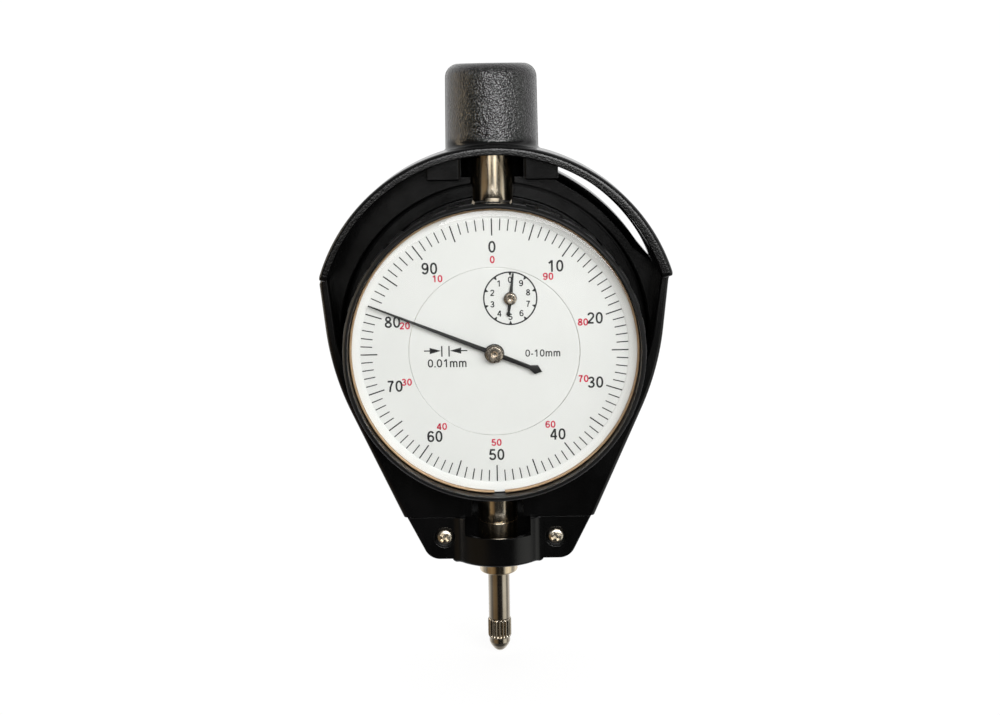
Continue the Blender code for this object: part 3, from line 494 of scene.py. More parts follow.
def turned_metal(name, colour, dark, roughness, stretch, depth_mm=0.01, edge_mm=0.05, streaks=900.0):
    """Metal with fine lathe or polishing marks that run the way stretch squeezes them."""
    look = Look(name, colour, roughness, 1.0)
    lines = look.noise(streaks, 4.0, 0.6, stretch)
    smudge = look.noise(160.0, 4.0, 0.55)
    look.relief(lines, 0.35, depth_mm, edge_mm)
    look.drive("Roughness", look.spread(lines, 0.25, 0.75, roughness * 0.75, roughness * 1.45))
    tone = look.maths("ADD", look.maths("MULTIPLY", lines, 0.45), look.maths("MULTIPLY", smudge, 0.55))
    look.drive("Base Color", look.mixed(look.spread(tone, 0.36, 0.66, 0.0, 1.0), dark, colour))
    return look


def enamel(name, colour, shade, roughness):
    """A printed dial's matt white coat, with a faint orange peel."""
    look = Look(name, colour, roughness)
    look.relief(look.noise(2600.0, 2.0), 0.06, 0.02, 0.04)
    look.drive(
        "Base Color", look.mixed(look.spread(look.noise(70.0, 3.0), 0.35, 0.7, 0.0, 1.0), shade, colour)
    )
    return look.made


def ink(name, colour):
    look = Look(name, colour, 0.42)
    look.drive("Roughness", look.spread(look.noise(4000.0, 2.0), 0.3, 0.7, 0.36, 0.52))
    look.drive(
        "Base Color",
        look.mixed(look.noise(5200.0, 2.0), colour, tuple(min(1.0, c * 1.5 + 0.004) for c in colour)),
    )
    return look.made


def clear_cover(name):
    """A thin clear window: it reflects by its angle and lets everything else straight through."""
    look = Look(name, (1.0, 1.0, 1.0), 0.02)
    tree = look.tree
    fresnel = look.node("ShaderNodeFresnel")
    fresnel.inputs["IOR"].default_value = 1.36
    clear = look.node("ShaderNodeBsdfTransparent")
    clear.inputs["Color"].default_value = (0.985, 0.99, 0.985, 1.0)
    glossy = look.node("ShaderNodeBsdfGlossy")
    glossy.inputs["Color"].default_value = (1.0, 1.0, 1.0, 1.0)
    look.link(look.spread(look.noise(60.0, 3.0), 0.3, 0.7, 0.015, 0.03), glossy.inputs["Roughness"])
    mix = look.node("ShaderNodeMixShader")
    path = look.node("ShaderNodeLightPath")
    outside = look.maths("SUBTRACT", 1.0, look.node("ShaderNodeNewGeometry").outputs["Backfacing"])
    seen = look.maths("MULTIPLY", fresnel.outputs[0], path.outputs["Is Camera Ray"])
    seen = look.maths("MULTIPLY", seen, outside)
    look.link(seen, mix.inputs[0])
    look.link(clear.outputs[0], mix.inputs[1])
    look.link(glossy.outputs[0], mix.inputs[2])
    tree.links.new(mix.outputs[0], tree.nodes["Material Output"].inputs["Surface"])
    return look.made


def ruby_look():
    look = Look("ruby", (0.42, 0.012, 0.035), 0.06)
    look.set("Transmission Weight", 0.35)
    look.set("IOR", 1.76)
    look.drive(
        "Base Color",
        look.mixed(look.noise(1500.0, 2.0), (0.30, 0.006, 0.02), (0.62, 0.03, 0.07)),
    )
    return look.made


LIES_Z = (1.0, 1.0, 0.04)  # marks along the spindle
EVEN = (1.0, 1.0, 1.0)

GUARD = moulded_plastic("guard_plastic", 0.0013, 0.18, 3300.0, 0.06, shine=0.3, cap_from=107.6)
BEZEL = moulded_plastic("bezel_plastic", 0.0016, 0.36, 3400.0, 0.12, 0.04, 0.2)
CASE = moulded_plastic("case_enamel", 0.0030, 0.28, 5200.0, 0.10, 0.08)
POINTER = moulded_plastic("pointer_enamel", 0.0060, 0.36, 9000.0, 0.04, 0.03)
NICKEL = turned_metal("warm_nickel", (0.88, 0.80, 0.66), (0.60, 0.45, 0.27), 0.16, LIES_Z, 0.004, 0.05, 1500.0).made
HUB = turned_metal("hub_nickel", (0.60, 0.53, 0.45), (0.38, 0.31, 0.25), 0.24, EVEN, 0.01, 0.05, 2200.0).made
STEEL = turned_metal("ground_steel", (0.52, 0.47, 0.39), (0.37, 0.32, 0.25), 0.17, LIES_Z, 0.002, 0.05, 1800.0).made
INNER_STEEL = turned_metal("arbor_steel", (0.56, 0.55, 0.53), (0.38, 0.37, 0.35), 0.26, EVEN).made
SCREW = turned_metal("screw_zinc", (0.74, 0.70, 0.62), (0.50, 0.42, 0.30), 0.26, EVEN, 0.02).made
BRASS = turned_metal("satin_brass", (0.80, 0.60, 0.29), (0.58, 0.41, 0.17), 0.26, EVEN).made
SNAP = turned_metal("snap_ring_brass", (0.52, 0.35, 0.21), (0.40, 0.26, 0.15), 0.42, EVEN)
SNAP.set("Metallic", 0.55)
SNAP = SNAP.made
WIRE = turned_metal("spring_wire", (0.50, 0.50, 0.52), (0.30, 0.30, 0.33), 0.2, EVEN).made
DIAL = enamel("dial_enamel", (0.72, 0.72, 0.71), (0.69, 0.69, 0.68), 0.42)
RIM = enamel("dial_rim_enamel", (0.76, 0.76, 0.75), (0.72, 0.72, 0.71), 0.36)
BLACK_INK = ink("black_ink", (0.012, 0.012, 0.013))
RED_INK = ink("red_ink", (0.44, 0.014, 0.045))
GLASS = clear_cover("crystal_clear")
RUBY = ruby_look()


# ---------------------------------------------------------------- guard

ARCH_RADIUS = 36.05
ARCH_SHIFT = 0.45  # the guard's arch sits a little to the right of the spindle
ARCH_RISE = 3.3
CAVITY_ARCH = 34.15
CAVITY_SHIFT = 0.2
FRAME_FRONT = depth("base_screw_left")[1] + 0.25
PARTING = 0.01
CLAMP_TOP = -36.0
LEFT_FOOT = 19.15
CAP_RADIUS = 9.1
CAP_BORE = 6.2
BLOCK_X = 9.3
SCREW_X = span("base_screw_right")[1].x - 1.65
SCREW_Y = span("base_screw_right")[1].z - 1.65 - DIAL_Z
SINK = depth("base_screw_left")[1] - 1.0
SCREW_SPOTS = {"left": (0.5 - SCREW_X, SCREW_Y - 0.2), "right": (SCREW_X + 0.5, SCREW_Y - 0.2)}


def side_and_taper(inset, foot=19.8):
    """The guard's side from the shoulder down, clockwise on the right."""
    points = [(34.5 - inset, 12.4)]
    points += rounded([points[0], (32.75 - inset, -5.7), (foot - inset, -35.9)], [0, 55.0, 0], 14, closed=False)[1:-1]
    points.append((foot - inset, -35.9))
    return points


def arch_points(radius, low_y, shift=ARCH_SHIFT, steps=80):
    """The arch from left to right, ending at low_y on both sides."""
    start = math.degrees(math.asin((low_y - ARCH_RISE) / radius))
    return arc((shift, ARCH_RISE), radius, 180.0 - start, start, steps)


def leftwards(points):
    return [(-x, y) for x, y in reversed(points)]


def frame_outline():
    right, left = side_and_taper(0.0) + [(19.11, -37.5)], side_and_taper(0.0, LEFT_FOOT) + [(18.43, -37.5)]
    return arch_points(ARCH_RADIUS, 14.0) + right + leftwards(left)


def lobe(top, corner, radius):
    return rounded([top, corner, (0.0, corner[1])], [0, radius, 0], 10, closed=False)[1:-1]


def shell_outline():
    """The rear shell with its foot, half a millimetre inside the front frame."""
    right = side_and_taper(0.5) + lobe((19.1, -36.4), (14.7, -45.0), 3.4)
    left = side_and_taper(0.5, LEFT_FOOT) + lobe((LEFT_FOOT - 0.7, -36.4), (14.0, -45.0), 3.4)
    return arch_points(ARCH_RADIUS - 0.5, 14.0) + right + leftwards(left)


def clamp_outline():
    over = CLAMP_TOP + 0.8
    right = [(0.0, over), (19.5, over), *lobe((19.1, CLAMP_TOP), (14.7, -45.0), 3.4)]
    left = [(LEFT_FOOT - 0.3, over), *lobe((LEFT_FOOT - 0.7, CLAMP_TOP), (14.0, -45.0), 3.4)]
    return right + leftwards(left)


def cavity_outline(grow=0.0):
    side = [(31.3 + grow, 1.0), *arc((0.0, 0.0), 30.0 + grow, -12.0, -90.0, 40)]
    return arch_points(CAVITY_ARCH + grow, 13.0, CAVITY_SHIFT) + side + leftwards(side)[1:]


def cap_solid(name, grow=0.0, lower=0.0):
    """The cap with a fillet where it runs into the arch, which is lowered at the rear."""
    steps, fillet, draft = 96, 1.15, 0.25
    reach = CAP_RADIUS + grow + fillet * 0.9
    shoulder = rounded(
        [(0.0, CAP_TOP), (CAP_RADIUS + grow - draft, CAP_TOP), (CAP_RADIUS + grow, CAP_TOP - 18.0)],
        [0, 2.7, 0], 10, closed=False,
    )[1:-1]
    bm = bmesh.new()
    rows = []
    for ring in range(len(shoulder) + 16):
        row = []
        for i in range(steps):
            angle = TAU * i / steps
            across = math.cos(angle) * reach - ARCH_SHIFT
            foot = DIAL_Z + ARCH_RISE + math.sqrt((ARCH_RADIUS - lower) ** 2 - across ** 2) - 0.08
            if ring < len(shoulder):
                radius, height = shoulder[ring]
            else:
                turn = (ring - len(shoulder)) / 13
                top = foot + fillet
                if turn <= 0.16:
                    share = turn / 0.16
                    start = shoulder[-1][1]
                    height = start + (top - start) * share
                    radius = shoulder[-1][0] + (CAP_RADIUS + grow - shoulder[-1][0]) * share
                elif turn <= 1.0:
                    bend = math.pi / 2 * (turn - 0.16) / 0.84
                    height = top - fillet * math.sin(bend)
                    radius = CAP_RADIUS + grow + fillet * (1 - math.cos(bend)) * 0.9
                else:
                    height = foot - 0.9 * (turn - 1.0) / 0.16
                    radius = reach
            row.append(
                bm.verts.new(upright_point(radius * math.cos(angle), radius * math.sin(angle), height))
            )
        rows.append(row)
    for first, second in zip(rows, rows[1:]):
        for i in range(steps):
            j = (i + 1) % steps
            bm.faces.new((first[i], first[j], second[j], second[i]))
    bm.faces.new(rows[0])
    bm.faces.new(list(reversed(rows[-1])))
    return from_bmesh(name, bm)


def halved(obj, front):
    """Keeps the front or the rear half of a solid, and closes it at the parting plane."""
    bm = bmesh.new()
    bm.from_mesh(obj.data)
    h = PARTING if front else -PARTING
    geometry = bm.verts[:] + bm.edges[:] + bm.faces[:]
    cutting = bmesh.ops.bisect_plane(
        bm, geom=geometry, plane_co=dial_point(0, 0, h), plane_no=(0.0, 1.0, 0.0),
        clear_outer=front, clear_inner=not front,
    )
    edges = [e for e in cutting["geom_cut"] if isinstance(e, bmesh.types.BMEdge)]
    bmesh.ops.contextual_create(bm, geom=edges)
    bmesh.ops.recalc_face_normals(bm, faces=bm.faces)
    bm.to_mesh(obj.data)
    bm.free()
    smooth_by_angle(obj.data, 35.0)
    return obj


def upright_bore(name, radius, low, high, steps=64, centre=(0.0, 0.0)):
    return revolve(
        name, [(0.0, low), (radius, low), (radius, high), (0.0, high)], centre, upright_point, steps
    )


def facing_bore(name, centre, low, high, radius, flare=0.0, steps=40):
    """A hole along the dial's axis, with a small chamfer at its high end."""
    profile = [(0.0, low), (radius, low), (radius, high - flare)]
    if flare:
        profile += [(radius + flare, high), (radius + flare, high + 4.0), (0.0, high + 4.0)]
    else:
        profile += [(radius, high), (0.0, high)]
    return revolve(name, profile, centre, dial_point, steps)


def visor():
    """The hood: one section swept round the arch, its two ends rounded."""
    ends = 17.2
    loops = []
    turns = []
    edge = 0.9
    for k in range(6):
        angle = math.pi / 2 * k / 5
        turns.append((ends + math.degrees(edge * (1 - math.cos(angle)) / ARCH_RADIUS), edge * (1 - math.sin(angle))))
    middle = [(ends + 2.0 + (176.0 - 2 * ends) * k / 96, 0.0) for k in range(97)]
    turns = turns + middle + [(180.0 - a, inset) for a, inset in reversed(turns)]
    for angle, inset in turns:
        a = math.radians(angle)
        inner = CAVITY_ARCH + (CAVITY_SHIFT - ARCH_SHIFT) * math.cos(a)
        wall = [(ARCH_RADIUS, 5.0), (ARCH_RADIUS, VISOR_FRONT), (inner, VISOR_FRONT), (inner, 5.0)]
        section = [
            (min(max(r, inner + inset * 0.6), ARCH_RADIUS - inset * 0.6), min(h, VISOR_FRONT - inset * 0.8))
            for r, h in rounded(wall, [0, 1.4, 0.2, 0], 8)
        ]
        loops.append([(ARCH_SHIFT + r * math.cos(a), ARCH_RISE + r * math.sin(a), h) for r, h in section])
    return loft("visor", loops)


def front_frame():
    frame = soft_plate("front_frame_visual", frame_outline(), PARTING, FRAME_FRONT, 0.12, 0.9, 6)
    flare = 0.55
    levels = [(0.0, -2.0), (0.0, FRAME_FRONT - flare)]
    for k in range(1, 6):
        a = math.pi / 2 * k / 5
        levels.append((flare * (1 - math.cos(a)), FRAME_FRONT - flare + flare * math.sin(a)))
    levels.append((flare, FRAME_FRONT + 3.0))
    cavity = loft(
        "cavity", [[(x, y, h) for x, y in cavity_outline(grow)] for grow, h in levels]
    )
    channel = block("channel", (-5.25, -42.0, -2.0), (5.25, -20.0, FRAME_FRONT + 2.0))
    below = block("below", (-60.0, -60.0, -5.0), (60.0, -35.9, 20.0))
    cut(frame, cavity, channel, below)
    blocks = []
    for x in (-BLOCK_X, BLOCK_X):
        wide = math.copysign(3.6, x)
        low, high = sorted((x - math.copysign(2.9, x), x + wide))
        blocks.append(block("ledge", (low, 32.2, PARTING), (high, 36.7, 5.4), 0.4))
    cap = halved(cap_solid("cap_front"), True)
    join(frame, visor(), cap, *blocks)
    cut(frame, upright_bore("cap_bore", CAP_BORE, 90.0, 120.0))
    trim = block("behind", (-60.0, -60.0, -30.0), (60.0, 70.0, PARTING))
    cut(frame, trim)
    return piece(tidy_normals(frame), "housing", GUARD, "guard_black", "front_frame")


def rear_shell():
    shell = soft_plate("rear_shell_visual", shell_outline(), GUARD_REAR, -PARTING, 2.8, 0.12, 7)
    window = [
        [(x, y, h) for x, y in arc((0.2, ARCH_RISE), outer, 75.0, 20.3, 40) + arc((-5.6, -4.2), inner, 33.5, 69.5, 40)]
        for inner, outer, h in (
            (41.75, 34.15, GUARD_REAR - 1.0), (41.7, 34.1, -8.5), (41.6, 33.95, -3.2), (40.6, 33.85, -1.2),
            (40.2, 33.8, -PARTING), (40.2, 33.8, 1.0),
        )
    ]
    cut(shell, loft("window", window))
    join(shell, halved(cap_solid("cap_rear", 0.1, 0.5), False))
    edge = 0.3
    top = math.degrees(math.asin(31.2 / 31.5))

    def recess(grow):
        return mirrored(arc((0.0, 0.0), 31.5 + grow, top, -90.0, 60))

    recess_loops = [[(x, y, h) for x, y in recess(g)] for g, h in (
        (-0.9, -5.0), (-0.26, -4.74), (0.0, -4.1), (0.0, -PARTING - edge), (edge * 0.3, -PARTING - edge * 0.3), (edge, -PARTING), (edge, 2.0)
    )]
    cutters = [
        loft("recess", recess_loops),
        facing_bore("pocket", (0.0, 0.0), -8.8, -5.0, 28.3, 0.3, 120),
        upright_bore("shell_cap_bore", CAP_BORE, 100.5, 120.0),
        upright_bore("tube_notch", STEM_RADIUS + 0.4, 90.0, 102.0),
        upright_bore("stem_groove", STEM_RADIUS + 0.05, 15.0, 50.0),
    ]
    for spot in SCREW_SPOTS.values():
        cutters.append(facing_bore("insert_seat", spot, -6.5, 1.0, 1.65))
    for x in (-BLOCK_X, BLOCK_X):
        cutters.append(facing_bore("screw_hole", (x, 33.9), GUARD_REAR - 1.0, 1.0, 1.05))
        cutters.append(facing_bore("screw_sink", (x, 33.9), GUARD_REAR - 1.0, -8.0, 2.0))
    cut(shell, *cutters)
    return piece(tidy_normals(shell), "housing", GUARD, "guard_black", "rear_shell")


def base_clamp():
    clamp = soft_plate("base_clamp_visual", clamp_outline(), PARTING, FRAME_FRONT, 0.12, 0.35, 5)
    shell, web, foot = 10.8, 2.6, BOSS_FOOT - 0.2
    centre = (math.sqrt((shell + web) ** 2 - (FRAME_FRONT + web) ** 2), FRAME_FRONT + web)
    meet = math.degrees(math.atan2(centre[1], centre[0]))
    flank = arc((0.0, 0.0), shell, 90.0, meet, 26)
    flank += arc(centre, web, 180.0 + meet, 270.0, 8)[1:]
    flank += [(centre[0] + 0.05, FRAME_FRONT - 0.3), (centre[0] - 0.2, 2.0), (7.5, 1.0)]
    boss_outline = mirrored(flank)
    top = DIAL_Z + CLAMP_TOP
    levels = [(0.9 * (1 - math.sin(a)), foot + 0.9 * (1 - math.cos(a))) for a in
              (math.pi / 2 * k / 6 for k in range(7))]
    levels += [(0.0, top - 0.25), (0.07, top - 0.07), (0.25, top)]

    def lifted(x, z):
        """Raises the boss's foot where its web runs out to the ears."""
        share = min(1.0, max(0.0, (abs(x) - 8.0) / 4.5))
        return z + 0.8 * share * share * (3 - 2 * share) * (top - z) / (top - foot)

    boss = loft(
        "boss", [[(x, -h, lifted(x, z)) for x, h in drawn_in(boss_outline, inset)] for inset, z in levels],
        upright_point,
    )
    join(clamp, boss)
    hollow, half = 8.5, 6.7
    side = math.degrees(math.acos(half / hollow))
    pocket = mirrored([(0.0, hollow), *arc((0.0, 0.0), hollow, 89.0, side, 24), (half, -3.0)])
    rim = BOSS_FOOT + 6.0
    pocket_loops = [[(x, -h * (1 + grow / hollow), z) for x, h in pocket] for grow, z in (
        (-0.5, 24.4), (-0.1, 24.6), (0.0, 25.0), (0.0, rim - 2.4), (1.9, rim), (1.9, rim + 0.4)
    )]
    cutters = [
        block("behind", (-60.0, -60.0, -30.0), (60.0, 0.0, PARTING)),
        block("over", (-60.0, CLAMP_TOP, -5.0), (60.0, -20.0, 30.0)),
        loft("pocket", pocket_loops, upright_point),
        block("above", (-half, rim - DIAL_Z, -5.0), (half, -28.0, 15.0)),
        upright_bore("stem_hole", STEM_RADIUS + 0.05, 15.0, 40.0),
    ]
    for spot in SCREW_SPOTS.values():
        cutters.append(facing_bore("screw_hole", spot, -1.0, 9.0, 1.05))
        cutters.append(facing_bore("screw_sink", spot, SINK, FRAME_FRONT, 2.15, 0.05))
    cut(clamp, *cutters)
    return piece(tidy_normals(clamp), "housing", GUARD, "guard_black", "base_clamp")


def cross_screw(name, centre, seat, head, height, shank, length, towards, nodes):
    """A pan head with a cross recess, over a threaded shank. towards is -1 when it faces the rear."""
    profile = [(0.0, height * 1.0)]
    for k in range(1, 9):
        a = math.pi / 2 * k / 8
        profile.append((head * math.sin(a) ** 0.62, height * (0.45 + 0.55 * math.cos(a) ** 0.9)))
    profile += [(head, 0.12), (head - 0.12, 0.0), (shank * 1.02, 0.0)]
    pitch = shank * 0.55
    z = -0.2
    while z > -length + pitch:
        profile += [(shank * 0.8, z), (shank, z - pitch / 2)]
        z -= pitch
    profile += [(shank * 0.8, z), (shank * 0.5, -length), (0.0, -length)]
    body = revolve(name, [(r, seat + towards * h) for r, h in profile], centre, dial_point, 40, degrees=30.0)
    wide, deep = head * 0.17, height * 0.62
    top = seat + towards * (height + 0.3)
    floor = seat + towards * (height - deep)
    low, high = min(top, floor), max(top, floor)
    x, y = centre
    arm = head * 0.62
    turn = Matrix.Rotation(math.radians(23.0 + 31.0 * x), 2)

    def bar(first, second):
        corners = [turn @ Vector(p) for p in ((-first, second), (first, second), (first, -second), (-first, -second))]
        return sheet("slot", [[(x + p.x, y + p.y) for p in corners]], low, high)

    cut(body, bar(arm, wide), bar(wide, arm))
    return piece(body, "housing", SCREW, "screw_steel", *nodes)


def guard_fasteners():
    for side, spot in SCREW_SPOTS.items():
        cross_screw(
            f"base_screw_{side}_visual", spot, SINK + 0.05, 1.65, 1.3, 0.85, 10.6, 1,
            [f"base_screw_{side}"],
        )
    for side, x in (("left", -BLOCK_X), ("right", BLOCK_X)):
        cross_screw(
            f"frame_screw_{side}_visual", (x, 33.9), -8.05, 1.7, 1.2, 0.8, 12.2, -1,
            [f"frame_screw_{side}"],
        )


# ---------------------------------------------------------------- indicator


def case_and_tubes():
    rear, front = depth("case_body")
    case = [
        (27.6, front + FORWARD), (27.6, 9.6), (27.15, 9.45), (27.15, 8.95), (27.6, 8.8), (27.6, rear),
        (25.8, rear), (25.8, front + FORWARD),
    ]
    case = rounded(case, [0.3, 0.12, 0.1, 0.1, 0.12, 0.4, 0.1, 0.2], 4)
    body = revolve("case_body_visual", case, steps=160, closed=True)
    boss = 16.7
    posts = []
    for x in (-boss, boss):
        for y in (-boss, boss):
            posts.append(facing_bore("post", (x, y), rear + 0.1, 2.55, 2.6))
    join(body, *posts)
    cutters = [
        upright_bore("stem_way", STEM_RADIUS + 0.05, 30.0, 50.0),
        upright_bore("tube_way", STEM_RADIUS + 0.05, 90.0, 100.0),
    ]
    for x in (-boss, boss):
        for y in (-boss, boss):
            cutters.append(facing_bore("thread", (x, y), -9.0, 5.0, 0.65, steps=16))
    cut(body, *cutters)
    piece(tidy_normals(body), "housing", CASE, "case_black", "case_body")

    rear, front = depth("case_back_cover")
    holes = [circle(at, 0.7, 32) for at in ((-boss, boss), (boss, -boss))]
    cover = sheet("back_cover_visual", [circle((0, 0), 27.4, 160), *holes], rear, front, 0.15)
    piece(cover, "housing", CASE, "case_black", "case_back_cover")

    r = STEM_RADIUS
    groove = 29.6
    stem = rounded(
        [
            (r, STEM_TOP), (r, groove + 0.22), (r - 0.22, groove + 0.14), (r - 0.22, groove - 0.14),
            (r, groove - 0.22), (r, STEM_FOOT), (2.95, STEM_FOOT), (2.95, STEM_TOP),
        ],
        [0.3, 0.06, 0.04, 0.04, 0.06, 0.45, 0.12, 0.2], 5,
    )
    stem = revolve("stem_visual", stem, place=upright_point, steps=96, closed=True)
    piece(stem, "housing", NICKEL, "warm_nickel", "stem")
    low, high = span("stem_bushing")
    bush = rounded(
        [(2.9, high.z), (2.9, low.z), (SPINDLE_RADIUS + 0.05, low.z), (SPINDLE_RADIUS + 0.05, high.z)],
        [0.1, 0.1, 0.12, 0.12], 4,
    )
    bush = revolve("stem_bushing_visual", bush, place=upright_point, steps=64, closed=True)
    piece(bush, "housing", BRASS, "brass", "stem_bushing")
    low, high = span("guide_tube")
    tube = rounded([(r, high.z), (r, low.z), (2.6, low.z), (2.6, high.z)], [0.25, 0.2, 0.1, 0.1], 5)
    tube = revolve("guide_tube_visual", tube, place=upright_point, steps=96, closed=True)
    piece(tube, "housing", NICKEL, "warm_nickel", "guide_tube")
    low, high = span("guide_tube_cap")
    plug = [(0.0, high.z)]
    plug += rounded(
        [(0.0, high.z), (3.0, high.z - 0.1), (3.9, high.z - 0.9), (3.9, low.z + 1.55), (2.55, low.z + 1.55),
         (2.55, low.z), (0.0, low.z)],
        [0, 0.6, 0.4, 0.08, 0.05, 0.2, 0], 5, closed=False,
    )[1:-1]
    plug.append((0.0, low.z))
    plug = revolve("guide_tube_cap_visual", plug, place=upright_point, steps=64)
    piece(plug, "housing", NICKEL, "warm_nickel", "guide_tube_cap")


def spindle_parts():
    low, high = span("spindle")
    contact_top = CONTACT_TOP
    r = SPINDLE_RADIUS
    rod = [(0.0, high.z)]
    rod += rounded(
        [(0.0, high.z), (r, high.z), (r, contact_top + 0.05), (1.3, contact_top + 0.05), (1.3, contact_top + 5.0)],
        [0, 0.4, 0.22, 0.05, 0], 5, closed=False,
    )[1:]
    rod.append((0.0, contact_top + 5.0))
    rod = revolve("spindle_visual", rod, place=upright_point, steps=72)
    pitch = 0.625
    mesh_height = DIAL_Z - COUNTER_Y
    travel = frame["joints"][0]["range_m"][1] / MM
    low_end, high_end = mesh_height - travel - 2.1, mesh_height + 2.1
    line = -COUNTER_X + pitch * 16 / TAU
    outline = [(-4.0, low_end), (line - 0.15, low_end)]
    first = math.ceil((low_end + 0.3 - mesh_height) / pitch)
    last = math.floor((high_end - 0.3 - mesh_height) / pitch)
    for i in range(first, last + 1):
        middle = mesh_height + i * pitch
        outline += [
            (line - 0.15, middle - 0.225), (line + 0.21, middle - 0.125),
            (line + 0.21, middle + 0.125), (line - 0.15, middle + 0.225),
        ]
    outline += [(line - 0.15, high_end), (-4.0, high_end)]
    rack = sheet("rack", [[(x, z - DIAL_Z) for x, z in outline]], -3.0, 3.0)
    pin = span("guide_pin")
    pin_z = (pin[0].z + pin[1].z) / 2
    hole = revolve(
        "pin_hole", [(0.0, 0.2), (0.65, 0.2), (0.65, 4.0), (0.0, 4.0)], (0.0, 0.0),
        lambda x, y, h: upright_point(h, x, pin_z + y), 24,
    )
    cut(rod, rack, hole)
    piece(rod, "spindle_assembly", STEEL, "steel", "spindle")
    pin_profile = rounded([(0.0, 0.3), (0.6, 0.3), (0.6, 8.4), (0.0, 8.4)], [0, 0.08, 0.12, 0], 4, False)
    pin = revolve(
        "guide_pin_visual", pin_profile, (0.0, 0.0), lambda x, y, h: upright_point(h, x, pin_z + y), 32
    )
    piece(pin, "spindle_assembly", STEEL, "steel", "guide_pin")
    low, high = span("stop_collar")
    collar = rounded(
        [(3.3, high.z), (3.3, low.z), (r + 0.05, low.z), (r + 0.05, high.z)], [0.15, 0.15, 0.05, 0.05], 4
    )
    collar = revolve("stop_collar_visual", collar, place=upright_point, steps=64, closed=True)
    piece(collar, "spindle_assembly", BRASS, "brass", "stop_collar")


def contact_point():
    """The screwed-in contact: a straight-knurled grip over a cone and a rounded nose."""
    top = CONTACT_TOP
    outer = [
        (1.2, top + 4.6), (1.2, top), (2.2, top), (2.46, top - 0.26), (2.46, 3.45), (2.2, 3.15),
        (2.2, 2.2), (1.9, 1.45), (1.3, 0.6), (0.8, 0.16), (0.4, 0.0),
    ]
    outer = rounded(outer, [0, 0.03, 0.08, 0.08, 0.1, 0.08, 0.2, 0.5, 0.5, 0.3, 0], 4, closed=False)
    flutes, per_flute = 20, 8
    steps = flutes * per_flute
    loops = []
    dense = []
    for (r0, z0), (r1, z1) in zip(outer, outer[1:]):
        pieces = max(1, int(abs(z1 - z0) / 0.5))
        for k in range(pieces):
            dense.append((r0 + (r1 - r0) * k / pieces, z0 + (z1 - z0) * k / pieces))
    dense.append(outer[-1])
    for radius, z in dense:
        share = min(1.0, max(0.0, min(z - 3.3, top - 0.12 - z) / 0.22)) if radius > 2.1 else 0.0
        loop = []
        for i in range(steps):
            angle = TAU * i / steps
            wave = 0.5 - 0.5 * math.cos(angle * flutes)
            bite = 0.36 * share * wave ** 1.2
            r = radius - bite
            loop.append((r * math.cos(angle), r * math.sin(angle), z))
        loops.append(loop)
    tip = loft("contact_point_visual", loops, upright_point, degrees=50.0)
    piece(tip, "spindle_assembly", STEEL, "steel", "contact_point")


def bezel_parts():
    profile = [
        (28.5, BEZEL_FRONT), (28.95, BEZEL_FRONT - 0.45), (28.95, 15.0), (28.5, 15.0), (28.5, 9.6 - FORWARD),
        (28.75, 9.6 - FORWARD), (28.75, BEZEL_REAR - FORWARD), (27.85, BEZEL_REAR - FORWARD),
        (27.85, 8.7 - FORWARD), (28.15, 8.7 - FORWARD), (28.15, 9.7 - FORWARD), (27.85, 9.7 - FORWARD),
        (27.85, 11.45), (26.9, 11.45), (26.9, 12.4), (28.05, 12.4), (28.05, BEZEL_FRONT),
    ]
    radii = [0.2, 0.22, 0.15, 0.05, 0.05, 0.12, 0.2, 0.1, 0.05, 0.05, 0.05, 0.05, 0.05, 0.1, 0.1, 0.03, 0.05]
    bezel = revolve("bezel_visual", rounded(profile, radii, 4), steps=216, closed=True)
    lugs, share = 36, 0.52
    step = 360.0 / lugs
    outline = []
    for i in range(lugs):
        middle = -i * step
        half = step * share / 2
        flank = step * 0.07
        outline += arc((0, 0), BEZEL_RADIUS, middle + half, middle - half, 5)
        outline += arc((0, 0), 28.62, middle - half - flank, middle - step + half + flank, 4)
    band = sheet("bezel_band", [outline, circle((0, 0), 28.3, 216)], 9.7 - FORWARD, 14.9, 0.16)
    join(bezel, band)
    face_piece(tidy_normals(bezel), "bezel_assembly", BEZEL, "guard_black", "bezel")

    low, high = depth("crystal")
    dome = [(0.0, high)]
    dome += [(2.0 + 25.2 * k / 14, high - 0.24 * (k / 14) ** 2) for k in range(15)]
    dome += rounded([(27.2, high - 0.25), (28.0, high - 0.5), (28.0, low), (26.0, low)], [0, 0.1, 0.08, 0], 3, False)[1:-1]
    dome += [(26.0, low), (0.0, low)]
    crystal = revolve("crystal_visual", dome, steps=160)
    face_piece(crystal, "bezel_assembly", GLASS, "crystal_clear", "crystal")

    low, high = depth("snap_ring")
    gap, middle = 2.2, -88.7
    rows = []
    section = rounded([(27.9, high), (27.9, low), (27.48, low), (27.48, high)], 0.14, 4)
    total = 200
    for i in range(total + 1):
        angle = math.radians(middle + gap + (360.0 - 2 * gap) * i / total)
        rows.append([(r * math.cos(angle), r * math.sin(angle), h) for r, h in section])
    ring = loft("snap_ring_visual", rows)
    face_piece(ring, "bezel_assembly", SNAP, "brass", "snap_ring")

    low, high = depth("dial_ring")
    loops = [circle((0, 0), 27.95, 200), circle((0, 0), PLATE_RADIUS + 0.045, 160)]
    ring = sheet("dial_ring_visual", loops, low, high, 0.04)
    face_piece(tidy_normals(ring), "bezel_assembly", DIAL, "dial_white", "dial_ring")
    rim_low, rim_high = depth("dial_rim")
    rim = rounded(
        [(27.9, rim_high), (27.9, rim_low), (25.95, rim_low), (25.95, rim_low + 0.13)], [0.03, 0.02, 0.02, 0.05], 3
    )
    rim = revolve("dial_rim_visual", rim, steps=200, closed=True)
    face_piece(rim, "bezel_assembly", RIM, "dial_white", "dial_rim")


